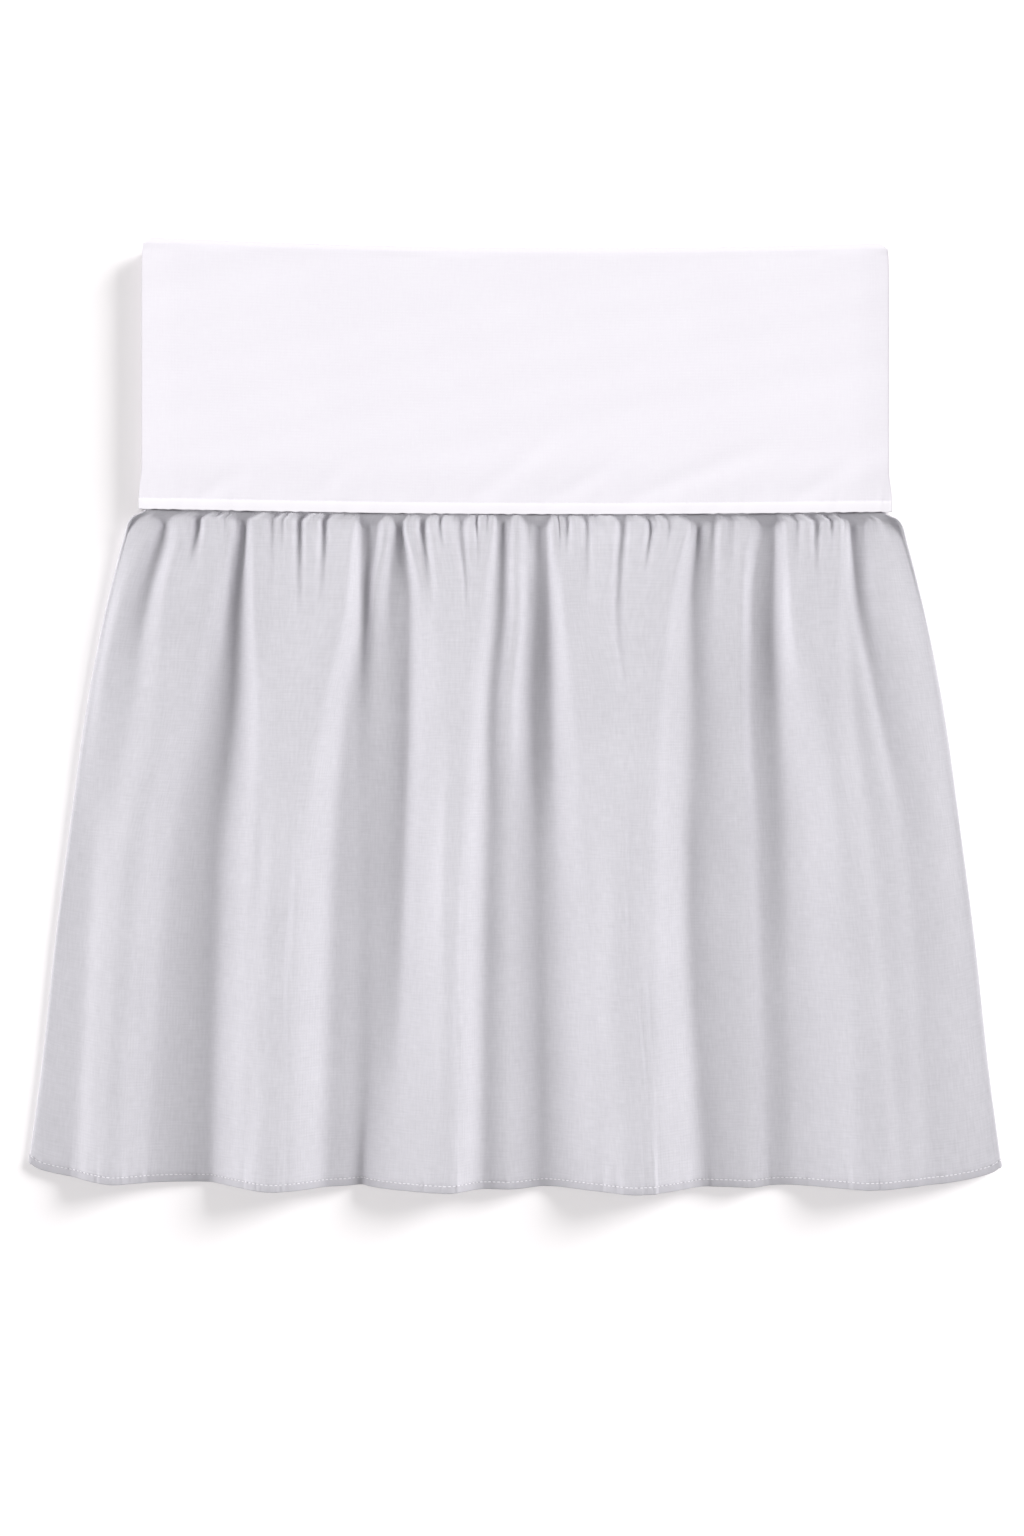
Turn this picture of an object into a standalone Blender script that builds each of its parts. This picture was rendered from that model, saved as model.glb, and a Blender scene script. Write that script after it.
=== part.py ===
"""A gathered crib bed skirt, folded for the shelf and lying on its back, face up.

Two pieces of cloth make it:
  deck   the white sheet that goes between mattress and base. Both its sides are turned under, and its
         length is folded back and forth behind the front layer. The lower edge of the front layer is
         turned and topstitched into a band over the head of the skirt.
  skirt  the grey ruffle. Its head is drawn up under the band, its sides are turned under as the deck's
         are, and its front falls in large folds to a narrow hem.

Frame: +Z up, off the surface it lies on; +Y from the hem to the deck; +X to the right of the face.
The origin is on the surface, under the middle of the bounding box. Sizes are in millimetres up to the
mesh, which is in metres.
"""

import math

import bmesh
import bpy

METRES = 0.001

# Driving dimensions
CLOTH = 1.2  # thickness of a single cloth
HEM_CLOTH = 2.0  # thickness of a turned and stitched edge
DROP = 404.0  # skirt from the band to the hem
SEAM_HALF = 225.0  # half the width of the folded deck
RETURN = 131.0  # how far each side is turned under
SEAM_Y = 120.2  # lower edge of the band at its lowest point
TOP_Y = 280.0  # top fold of the deck at its lowest point
BAND = 6.4  # height of the topstitched band
SKIRT_HEM = 4.4  # height of the skirt's hem
CLEAR = 0.4  # between two cloths that are sewn together

# Deck: layers of the folded stack
LAYER = 2.2  # between the middles of two layers that lie on each other
TURN = 2.6  # between a layer and its turned-under side
FOLD = LAYER + 2 * TURN  # between two layers with both their turned-under sides in between
BOTTOM_Z = CLOTH / 2
STACK = 2 * FOLD + LAYER  # from the middle of the bottom layer to the middle of the front layer
LOW_FOLD_UP = 13.0  # the lower fold of the stack stays this far above the seam
END_UP = 3.0  # the last layer ends this far above the seam
NOTCH = 9.0  # the turned-under sides of the front layer start this far above the seam
CORNER_IN = 2.4  # how far the top fold draws the corners in
WAIST_IN = 1.8  # how much narrower the deck is above the seam
WAIST_UP = (8.0, 26.0)  # between these heights above the seam it narrows

# Skirt: head, rims and turned-under sides
HEAD = 6.0  # part of the skirt under the band
HEAD_HALF = 221.0  # half the width of the drawn-up head, to its rim
RIM = 6.0  # half the width of the rim's round, below the head
SETTLE = (-1.0, 14.0)  # between these distances below the seam its sides drop to the surface
SIDE_GAP = 1.0  # from a turned-under side up to the valleys of the front
HEM_SWING = 0.1  # how much lower the hem hangs for each millimetre of a fold's height
MEAN_FOLD = 10.5  # the height of a fold that hangs level with the hem's mean line
SPREAD = (0.0, 5.0)  # and between these it spreads sideways from the drawn-up head
SPRUNG = (0.6, 9.0)  # between these distances below the seam the cloth springs into its folds

# Edge of the skirt: half its width at these distances below the seam
EDGE_DOWN = (0, 4, 9, 19, 38, 70, 124, 196, 268, 340, 404)
EDGE_HALF = (225.5, 228.5, 232, 235, 240, 247.5, 257.5, 267.3, 276.3, 283.8, 292)

# Fold lines of the skirt's front, from left to right. Each is followed at these distances below the
# seam: x says where it runs, and z how high the middle of the cloth stands there.
STATIONS = (10, 52, 112, 214, 404)
RIM_TOP_Z = (8.5, 7.5, 6.0, 5.4, 5.0)
FOLDS = (
    dict(line="outer ridge, left", x=(-217.2, -233.4, -245.4, -253.2, -265.2), z=(11, 11, 9.5, 8, 7.5)),
    dict(line="slanting valley", x=(-210, -220.2, -229.8, -242.4, -253.2), z=(6.5, 7, 10.5, 14, 15.5)),
    dict(line="first fold", x=(-196.8, -206.4, -208.8, -228, -241.2), z=(14.5, 15.5, 18.5, 20, 20)),
    dict(line="first fold, right", x=(-181.2, -184.8, -195.6, -216, -229.2), z=(14.5, 16.5, 15.5, 15.5, 15)),
    dict(line="first valley", x=(-161.4, -165, -168, -180, -184.2), z=(7, 6, 3.8, 3.2, 3.4)),
    dict(line="second fold, edge", x=(-158.4, -159.9, -159.6, -166.2, -174), z=(12, 11.5, 10.5, 11, 10)),
    dict(line="second fold, left", x=(-154.2, -154.2, -151.8, -154.8, -162), z=(14.5, 16.5, 17.5, 19, 19)),
    dict(line="second fold", x=(-128.4, -128.4, -134.4, -138, -145.2), z=(15.5, 19, 22.5, 25, 27)),
    dict(line="second fold, right", x=(-97.8, -102, -115.2, -128.4, -134.4), z=(14, 17.5, 20.5, 22, 24.5)),
    dict(line="second fold, crease", x=(-91.8, -92.4, -100.2, -107.4, -112.8), z=(8, 9, 9.5, 8.5, 11)),
    dict(line="second valley", x=(-88.2, -88.8, -93, -88.8, -91.8), z=(6.5, 7, 7, 4.5, 3.4)),
    dict(line="ridge in second valley", x=(-76.8, -82.8, -84, -81.6, -86.4), z=(13, 12, 8, 4.8, 7.5)),
    dict(line="second valley, right", x=(-67.8, -63.6, -63.6, -67.2, -75), z=(7, 6.5, 4.6, 4.5, 14.5)),
    dict(line="third fold, edge", x=(-63.6, -55.8, -55.2, -58.8, -63.6), z=(13.5, 12.5, 12.5, 11.5, 19)),
    dict(line="third fold, left", x=(-49.8, -45, -43.8, -46.8, -48), z=(15, 17.5, 19.5, 19.5, 23.5)),
    dict(line="third fold", x=(-35.4, -31.2, -33.6, -38.4, -40.2), z=(15.5, 19, 22.5, 24, 25)),
    dict(line="third fold, right", x=(-14.4, -20.4, -25.8, -30.6, -32.4), z=(14.5, 17.5, 20.5, 21.5, 21.5)),
    dict(line="third fold, crease", x=(-6.6, -7.2, -13.2, -15.6, -18), z=(9, 10.5, 12.5, 11.5, 12)),
    dict(line="ridge beside third fold", x=(0.6, 1.8, -2.4, -5.4, -3.6), z=(14, 16, 16.5, 12.5, 13.5)),
    dict(line="third valley, left", x=(8.4, 9, 3.6, 4.8, 9.6), z=(11, 10, 10.5, 8.5, 8)),
    dict(line="third valley", x=(15.6, 15, 10.8, 16.8, 18.6), z=(7, 7.5, 4.8, 3.5, 3.3)),
    dict(line="fourth fold, edge", x=(22.8, 24.6, 27.6, 31.2, 35.4), z=(12.5, 12, 11, 10.5, 9.5)),
    dict(line="fourth fold, left", x=(29.4, 30.6, 37.2, 43.2, 51.6), z=(14.5, 17, 18, 18, 18.5)),
    dict(line="fourth fold", x=(51.6, 51.6, 60.6, 64.2, 75.6), z=(15.5, 20, 22.5, 25.5, 27)),
    dict(line="fourth fold, right", x=(102, 91.2, 84.6, 80.4, 86.4), z=(14, 17.5, 20, 22.5, 23.5)),
    dict(line="fourth valley", x=(110.4, 107.4, 109.2, 105.6, 115.2), z=(7.5, 7.5, 6.5, 6.5, 6)),
    dict(line="ridge in fourth valley", x=(124.8, 123.6, 123.6, 124.8, 133.2), z=(14, 13, 10.5, 8.5, 8.5)),
    dict(line="ridge beside fifth valley", x=(136.2, 135, 135.6, 138, 142.2), z=(14.5, 15, 12.5, 11.5, 10)),
    dict(line="fifth valley, left", x=(148.8, 142.8, 142.2, 147.6, 153.6), z=(8, 8.5, 7, 6, 5)),
    dict(line="fifth valley", x=(156, 154.8, 156, 158.4, 162.6), z=(7.5, 6.5, 3.6, 3.4, 3.4)),
    dict(line="fifth fold, left", x=(166.2, 165.6, 172.2, 184.8, 193.2), z=(14.5, 16, 14.5, 15, 14)),
    dict(line="fifth fold", x=(178.8, 178.8, 186, 200.4, 211.2), z=(15.5, 18.5, 20.5, 21, 21.5)),
    dict(line="fifth fold, right", x=(193.2, 190.8, 193.8, 206.4, 222), z=(14.5, 17, 18, 19.5, 21)),
    dict(line="crease in right side", x=(196.2, 196.8, 202.8, 214.8, 231), z=(12, 13.5, 13.5, 16, 17.5)),
    dict(line="slanting valley, right", x=(200.4, 205.8, 217.2, 236.4, 248.4), z=(6.5, 7.5, 8.5, 11, 12)),
    dict(line="outer ridge, right", x=(213.6, 218.4, 231, 246.6, 261.6), z=(12, 13, 12, 11, 10.5)),
)

# Gathers: troughs between the fold lines. Each starts under the band at x and follows the threads of
# the cloth down, as deep and half as wide as it says, until it has run out.
GATHERS = (
    dict(x=-189.6, deep=4.4, wide=4, runs=62),
    dict(x=-144.6, deep=2.8, wide=4, runs=90),
    dict(x=-128.4, deep=4.2, wide=3.4, runs=90),
    dict(x=-113.4, deep=3.6, wide=3.8, runs=90),
    dict(x=-81.6, deep=2.6, wide=2.8, runs=40),
    dict(x=-54.6, deep=5, wide=3.6, runs=66),
    dict(x=-31.2, deep=3.6, wide=3.8, runs=80),
    dict(x=43.8, deep=3, wide=3.6, runs=80),
    dict(x=64.8, deep=4, wide=4.4, runs=120),
    dict(x=81.6, deep=2.6, wide=3.6, runs=60),
    dict(x=120.6, deep=3.2, wide=3.4, runs=90),
    dict(x=180, deep=4, wide=3.8, runs=80),
    dict(x=220.8, deep=2, wide=4.6, runs=60),
)

# Mesh density
THREADS_APART = 4.6  # columns of the skirt under the band
FOLD_STEP = 9.0  # and at its hem
RIM_STEPS = 5
RETURN_SHARES = (1.0, 0.5, 0.17, 0.06)  # columns of a turned-under side, as shares of its width
SKIRT_ROWS = (-HEAD, 0.6, 2.4, 5.0, 9.0, 15, 23, 33, 45, 60, 80, 104, 132, 164, 200, 240, 284, 330, 370,
              DROP - SKIRT_HEM - 1.5, DROP - SKIRT_HEM + 0.5, DROP)  # fmt: skip
DECK_SHARES = (0.0, 0.16, 0.32, 0.48, 0.63, 0.76, 0.86, 0.93, 0.965, 1.0)  # columns of half a front


# --- curves and blends ------------------------------------------------------------------------------


def eased(low, high, at):
    """0 below low, 1 above high, and a smooth step between."""
    t = min(1.0, max(0.0, (at - low) / (high - low)))
    return t * t * (3 - 2 * t)


def mix(a, b, share):
    return a + (b - a) * share


def slopes_of(xs, ys):
    """Slopes for a curve through the points that never overshoots them, level at each peak and dip."""
    steps = [(ys[i + 1] - ys[i]) / (xs[i + 1] - xs[i]) for i in range(len(xs) - 1)]
    slopes = [steps[0]]
    for before, after in zip(steps, steps[1:]):
        slopes.append(0.0 if before * after <= 0 else 2 * before * after / (before + after))
    return slopes + [steps[-1]]


def through(xs, ys, at):
    """The value at a place on the smooth curve through the points, held level past both ends."""
    if at <= xs[0]:
        return ys[0]
    if at >= xs[-1]:
        return ys[-1]
    slopes = slopes_of(xs, ys)
    i = max(k for k in range(len(xs) - 1) if xs[k] <= at)
    width = xs[i + 1] - xs[i]
    t = (at - xs[i]) / width
    return (
        ys[i] * (2 * t**3 - 3 * t**2 + 1)
        + slopes[i] * width * (t**3 - 2 * t**2 + t)
        + ys[i + 1] * (3 * t**2 - 2 * t**3)
        + slopes[i + 1] * width * (t**3 - t**2)
    )


# --- outlines shared by both cloths -----------------------------------------------------------------


def seam_y(x):
    """Lower edge of the band, which sags a little right of the middle."""
    return SEAM_Y + 3.3 * ((x - 45) / 268) ** 2


def top_y(x):
    """Top fold of the deck: higher at both ends, where the turned-under sides make it thicker."""
    if x < 60:
        return TOP_Y + 6.0 * ((60 - x) / 272) ** 2.2
    return TOP_Y + 2.6 * ((x - 60) / 155) ** 2


def loft(x, y):
    """How full the stack of layers is: fuller over the turned-under sides, pressed at rims and seam."""
    across = abs(x)
    fullness = 0.88 + 0.08 * eased(60, 130, across) - 0.12 * eased(202, 225, across)
    return fullness * (0.90 + 0.10 * eased(0, 32, y - seam_y(x)))


def deck_z(x, y, height):
    """Height in the stack, from its bottom layer, once the stack is pressed down."""
    return BOTTOM_Z + height * loft(x, y)


def head_z(x):
    """Middle of the skirt's head, just under the band."""
    return deck_z(x, seam_y(x), STACK) - HEM_CLOTH / 2 - CLEAR - CLOTH / 2


# --- deck -------------------------------------------------------------------------------------------


def deck_path():
    """Rows of the deck from the band round the stack to its last layer, as (stretch, how far along)."""
    rows = [("front", 0.0), ("front", BAND - 1.0), ("front", BAND + 0.6), ("front", NOTCH)]
    rows += [("face", q) for q in (0.1, 0.2, 0.4, 0.6, 0.8)]
    rows += [("top fold", math.pi * k / 7) for k in range(8)]
    rows += [("second", 0.5)]
    rows += [("low fold", math.pi * k / 4) for k in range(5)]
    rows += [("third", 0.5)]
    rows += [("inner fold", math.pi * k / 7) for k in range(8)]
    rows += [("last", 0.5), ("last", 1.0)]
    return rows


def deck_row(stretch, along, x):
    """(y, height, normal y, normal z) of a row at x. The normal points out of the cloth's face."""
    low, high = seam_y(x), top_y(x) - FOLD / 2 - CLOTH / 2
    inner_high, low_fold = high - 2.0, low + LOW_FOLD_UP
    turn, small = FOLD / 2, LAYER / 2
    c, s = math.cos(along), math.sin(along)
    if stretch == "front":
        return low + along, STACK, 0.0, 1.0
    if stretch == "face":
        return mix(low + NOTCH, high, along), STACK, 0.0, 1.0
    if stretch == "top fold":
        return high + turn * s, STACK - turn + turn * c, s, c
    if stretch == "second":
        return mix(high, low_fold, along), STACK - FOLD, 0.0, -1.0
    if stretch == "low fold":
        return low_fold - small * s, STACK - FOLD - small + small * c, s, -c
    if stretch == "third":
        return mix(low_fold, inner_high, along), FOLD, 0.0, 1.0
    if stretch == "inner fold":
        return inner_high + turn * s, turn + turn * c, s, c
    return mix(inner_high, low + END_UP, along), 0.0, 0.0, -1.0


def side_columns():
    """Columns of a turned-under side and its rim, from its free edge to the front."""
    columns = [("return", share) for share in RETURN_SHARES]
    return columns + [("rim", math.pi * (1 - k / RIM_STEPS)) for k in range(RIM_STEPS)]


def section(front):
    """Columns from one turned-under side over the front to the other, as (kind, value, side)."""
    columns = [(kind, value, -1) for kind, value in side_columns()]
    columns += [("front", value, 1) for value in front]
    return columns + [(kind, value, 1) for kind, value in reversed(side_columns())]


def deck_section():
    return section([-share for share in reversed(DECK_SHARES[1:])] + list(DECK_SHARES))


def deck_half(stretch, along):
    """Half the width of the front, to where its rims start."""
    half = SEAM_HALF - TURN / 2 - CLOTH / 2
    if stretch == "front":
        return half - WAIST_IN * eased(*WAIST_UP, along)
    if stretch == "face":
        return half - WAIST_IN * eased(*WAIST_UP, NOTCH + 150 * along)
    if stretch in ("top fold", "inner fold"):
        return half - WAIST_IN - CORNER_IN * math.sin(along)
    return half - WAIST_IN


def deck_point(column, row):
    kind, value, side = column
    stretch, along = row
    half = deck_half(stretch, along)
    if kind == "front":
        x, inward = value * half, 0.0
    elif kind == "rim":
        x = side * (half + TURN / 2 * math.sin(value))
        inward = TURN / 2 * (1 - math.cos(value))
    else:
        x, inward = side * (half - RETURN * value), TURN
    y, height, normal_y, normal_z = deck_row(stretch, along, x)
    y -= normal_y * inward
    height -= normal_z * inward
    return x, y, deck_z(x, y, height)


def deck_cut(column, row):
    """The turned-under sides of the front layer end above the band, which leaves room for the skirt."""
    kind, value, _ = column
    behind = kind == "return" or (kind == "rim" and value > 0.6 * math.pi)
    return behind and row[0] == "front" and row[1] < NOTCH


# --- skirt ------------------------------------------------------------------------------------------


def fold_lines(down):
    """x and z of all fold lines at a distance below the seam, with the tops of the two rims."""
    reach = through(EDGE_DOWN, EDGE_HALF, down) - RIM
    rim_z = through(STATIONS, RIM_TOP_Z, down)
    xs = [-reach] + [through(STATIONS, fold["x"], down) for fold in FOLDS] + [reach]
    zs = [rim_z] + [through(STATIONS, fold["z"], down) for fold in FOLDS] + [rim_z]
    return xs, zs


def front_columns():
    """Places across the front as (fold line to the left, share of the way to the next), close enough
    together for the gathers under the band and for the folds at the hem."""
    head, hem = fold_lines(STATIONS[0])[0], fold_lines(STATIONS[-1])[0]
    columns = []
    for k in range(len(FOLDS) + 1):
        steps = max((head[k + 1] - head[k]) / THREADS_APART, (hem[k + 1] - hem[k]) / FOLD_STEP)
        steps = max(2, round(steps))
        columns += [(k, j / steps) for j in range(steps)]
    return columns + [(len(FOLDS), 1.0)]


def gather_depth(thread, down):
    """How deep the gathers are at a thread, which is named by where it lies under the band."""
    depth = 0.0
    for gather in GATHERS:
        off = (thread - gather["x"]) / gather["wide"]
        fade = 1 - eased(0.25 * gather["runs"], gather["runs"], down)
        depth += gather["deep"] * math.exp(-off * off) * fade
    return depth


def kept_above(z, lowest):
    """The height, eased so that it never goes below the lowest."""
    return (z + lowest + math.sqrt((z - lowest) ** 2 + 0.5)) / 2


def hem_lift(inside):
    """How much the hem rises near the rims, at a distance inside the skirt's edge."""
    return 3.0 * math.exp(-inside / 2.5) + 6.5 * math.exp(-inside / 22)


def skirt_point(column, down):
    """A point of the skirt. Above the seam the front lies flat under the band, as drawn-up cloth."""
    kind, value, side = column
    below = max(down, 0.0)
    freed = eased(*SPRUNG, down)
    reach = mix(HEAD_HALF, through(EDGE_DOWN, EDGE_HALF, below), eased(*SPREAD, down))
    round_x = mix(LAYER / 2, RIM, eased(0.0, 20.0, down))
    xs, zs = fold_lines(below)
    top_z = mix(head_z(HEAD_HALF - 1), zs[0], freed)
    wall = HEM_CLOTH if down > DROP - SKIRT_HEM else CLOTH
    under_z = mix(head_z(HEAD_HALF - 1) - LAYER, wall / 2, eased(*SETTLE, down))
    swing = 0.0
    if kind == "front":
        line, share = value
        x = mix(xs[line], xs[line + 1], share)
        head_xs = fold_lines(0.0)[0]
        thread = mix(head_xs[line], head_xs[line + 1], share)
        z = kept_above(through(xs, zs, x) - gather_depth(thread, down), under_z + CLOTH + SIDE_GAP)
        x *= (reach - round_x) / xs[-1]
        z = mix(head_z(x), z, freed)
        swing = HEM_SWING * (z - MEAN_FOLD) * eased(150, DROP, down)
        inside = reach - abs(x)
    elif kind == "rim":
        x = side * (reach - round_x + round_x * math.sin(value))
        z = (top_z + under_z) / 2 + (top_z - under_z) / 2 * math.cos(value)
        inside = reach - abs(x) if value < math.pi / 2 else 0.0
    else:
        x, z, inside = side * (reach - round_x - RETURN * value), under_z, 0.0
    y = seam_y(x) - down - swing + hem_lift(inside) * below / DROP
    return x, y, z


# --- cloth ------------------------------------------------------------------------------------------


def cloth(name, columns, rows, point, cut, turned, colour):
    """A cloth: a grid of columns and rows, moved to its folds, and given its thickness.

    cut(column, row) says whether a corner belongs to the part that is left out, and turned(column, row)
    whether the cloth is turned and stitched there, and so thicker."""
    mesh = bpy.data.meshes.new(name)
    shape = bmesh.new()
    bmesh.ops.create_grid(shape, x_segments=len(columns) - 1, y_segments=len(rows) - 1, size=0.5)
    layers = shape.verts.layers.deform.verify()
    dropped = []
    for vertex in shape.verts:
        column = columns[round((vertex.co.x + 0.5) * (len(columns) - 1))]
        row = rows[round((vertex.co.y + 0.5) * (len(rows) - 1))]
        vertex.co = [METRES * value for value in point(column, row)]
        vertex[layers][0] = 1.0 if turned(column, row) else CLOTH / HEM_CLOTH
        if cut(column, row):
            dropped.append(vertex)
    bmesh.ops.delete(shape, geom=dropped, context="VERTS")
    shape.to_mesh(mesh)
    shape.free()
    mesh.shade_smooth()
    body = bpy.data.objects.new(name, mesh)
    bpy.context.scene.collection.objects.link(body)
    body.vertex_groups.new(name="layers of cloth")
    wall = body.modifiers.new("thickness", "SOLIDIFY")
    wall.thickness = HEM_CLOTH * METRES
    wall.offset = 0.0
    wall.vertex_group = "layers of cloth"
    body.data.materials.append(finish(name, colour))
    return body


def finish(name, colour):
    """Matt woven cotton in one colour."""
    material = bpy.data.materials.new(name + "_cotton")
    material.use_nodes = True
    shader = material.node_tree.nodes["Principled BSDF"]
    shader.inputs["Base Color"].default_value = colour
    shader.inputs["Roughness"].default_value = 0.85
    shader.inputs["Metallic"].default_value = 0.0
    return material


def main():
    for thing in list(bpy.data.objects):
        bpy.data.objects.remove(thing, do_unlink=True)
    cloth(
        "deck", deck_section(), deck_path(), deck_point,
        cut=deck_cut,
        turned=lambda column, row: row[0] == "front" and row[1] < BAND,
        colour=(0.90, 0.89, 0.92, 1.0),
    )  # fmt: skip
    cloth(
        "skirt", section(front_columns()), SKIRT_ROWS, skirt_point,
        cut=lambda column, row: False,
        turned=lambda column, row: row > DROP - SKIRT_HEM,
        colour=(0.60, 0.60, 0.65, 1.0),
    )  # fmt: skip


main()
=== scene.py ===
"""Looks of a gathered crib bed skirt that lies on its back, face up: a white deck sheet, folded
behind itself, and a pale grey ruffle that falls from its topstitched band to a narrow hem.

Both cloths are made again here as fine sheets on the folds of their solids. Lengths are in
millimetres up to the meshes, which are in metres, in the frame of the solids: +Z out of the face, +Y
from the hem to the deck.
"""

from __future__ import annotations

import logging
import math
from dataclasses import dataclass
from enum import Enum
from typing import Sequence

import bmesh
import bpy
import numpy as np
from mathutils import Matrix, Vector


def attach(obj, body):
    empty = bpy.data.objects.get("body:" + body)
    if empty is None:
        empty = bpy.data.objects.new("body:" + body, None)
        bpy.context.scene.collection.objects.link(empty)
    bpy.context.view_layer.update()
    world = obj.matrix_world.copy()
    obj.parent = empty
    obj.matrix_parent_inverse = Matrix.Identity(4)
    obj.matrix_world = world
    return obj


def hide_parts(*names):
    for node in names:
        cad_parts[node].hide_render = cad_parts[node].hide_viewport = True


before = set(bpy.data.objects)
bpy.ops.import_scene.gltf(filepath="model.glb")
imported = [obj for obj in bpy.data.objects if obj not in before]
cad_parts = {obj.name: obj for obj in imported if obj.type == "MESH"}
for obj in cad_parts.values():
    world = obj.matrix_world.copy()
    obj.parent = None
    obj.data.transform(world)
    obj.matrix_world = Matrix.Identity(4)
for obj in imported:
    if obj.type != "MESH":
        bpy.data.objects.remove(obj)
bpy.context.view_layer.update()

LOG = logging.getLogger("bed_skirt")
METRES = 0.001
Array = np.ndarray
Table = Sequence[dict]


class Hold(Enum):
    """How a cloth is held, in the words of the sheet's declaration."""

    FOLDED = "folded"
    GATHERED = "gathered"


class Stretch(Enum):
    """The stretches of the deck's folded length, from the band to its hidden end."""

    BAND = "band"
    FACE = "face"
    TOP_FOLD = "top fold"
    SECOND = "second layer"
    LOW_FOLD = "low fold"
    THIRD = "third layer"
    INNER_FOLD = "inner fold"
    LAST = "last layer"


class Part(Enum):
    """The parts of a cloth from side to side."""

    FRONT = "front"
    RIM = "rim"
    UNDER = "turned under"


# --- blends and curves ------------------------------------------------------------------------------


def eased(low: float, high: float, at: Array | float) -> Array:
    """Steps smoothly from 0 below one place to 1 above another.

    Args:
        low: where the step starts.
        high: where it ends.
        at: the places asked for.

    Returns:
        A share from 0 to 1 for each place.
    """
    t = np.clip((np.asarray(at, float) - low) / (high - low), 0.0, 1.0)
    return t * t * (3 - 2 * t)


def mix(a: Array | float, b: Array | float, share: Array | float) -> Array:
    """Blends from a, at a share of 0, to b, at a share of 1."""
    return a + (b - a) * np.asarray(share, float)


def hump(at: Array | float, middle: float, wide: float) -> Array:
    """A smooth hump of height 1 round its middle, down to a third at its half width."""
    return np.exp(-(((np.asarray(at, float) - middle) / wide) ** 2))


def through(xs: Sequence[float], ys: Sequence[float], at: Array | float) -> Array:
    """Reads a smooth curve that goes through its points, never overshoots them, and is held level
    past both ends.

    Args:
        xs: where the points are, in rising order.
        ys: how high they are.
        at: the places asked for.

    Returns:
        The curve's height at each place.
    """
    xs, ys = np.asarray(xs, float), np.asarray(ys, float)
    at = np.clip(np.asarray(at, float), xs[0], xs[-1])
    steps = np.diff(ys) / np.diff(xs)
    before, after = steps[:-1], steps[1:]
    total = np.where(before * after > 0, before + after, 1.0)
    inner = np.where(before * after > 0, 2 * before * after / total, 0.0)
    slopes = np.concatenate(([steps[0]], inner, [steps[-1]]))
    i = np.clip(np.searchsorted(xs, at, side="right") - 1, 0, len(xs) - 2)
    width = xs[i + 1] - xs[i]
    t = (at - xs[i]) / width
    return (
        ys[i] * (2 * t**3 - 3 * t**2 + 1)
        + slopes[i] * width * (t**3 - 2 * t**2 + t)
        + ys[i + 1] * (3 * t**2 - 2 * t**3)
        + slopes[i + 1] * width * (t**3 - t**2)
    )


# How often each of the five waves of a ripple repeats within its pitch.
PULLS = (0.71, 0.93, 1.0, 1.18, 1.57)


def ripple(at: Array, pitch: float, seed: int) -> Array:
    """An uneven wave with crests about a pitch apart, such as thread tension makes in sewn cloth.

    Args:
        at: places along the cloth.
        pitch: the usual distance between two crests.
        seed: picks one unevenness among many.

    Returns:
        The wave's height, from about -1 to 1, at each place.
    """
    draws = np.random.default_rng(seed)
    total = np.zeros_like(np.asarray(at, float))
    for pull in PULLS:
        total += np.sin(2 * math.pi * (np.asarray(at) / pitch * pull + draws.random()))
    return total / 3.0  # the five waves seldom add up to more


def puckers(table: Table, x: Array, at: Array | float, seam: float) -> Array:
    """Puckers that a row of stitches draws up.

    Args:
        table: how high and how far apart they are, how far off the seam, and how wide they spread.
        x: places along the seam.
        at: places across it.
        seam: where the seam lies across.

    Returns:
        Their height at each place.
    """
    return sum(
        row["high"] * ripple(x, row["pitch"], row["seed"]) * hump(at, seam + row["off"], row["wide"])
        for row in table
    )


# --- shape shared by both cloths --------------------------------------------------------------------


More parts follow.
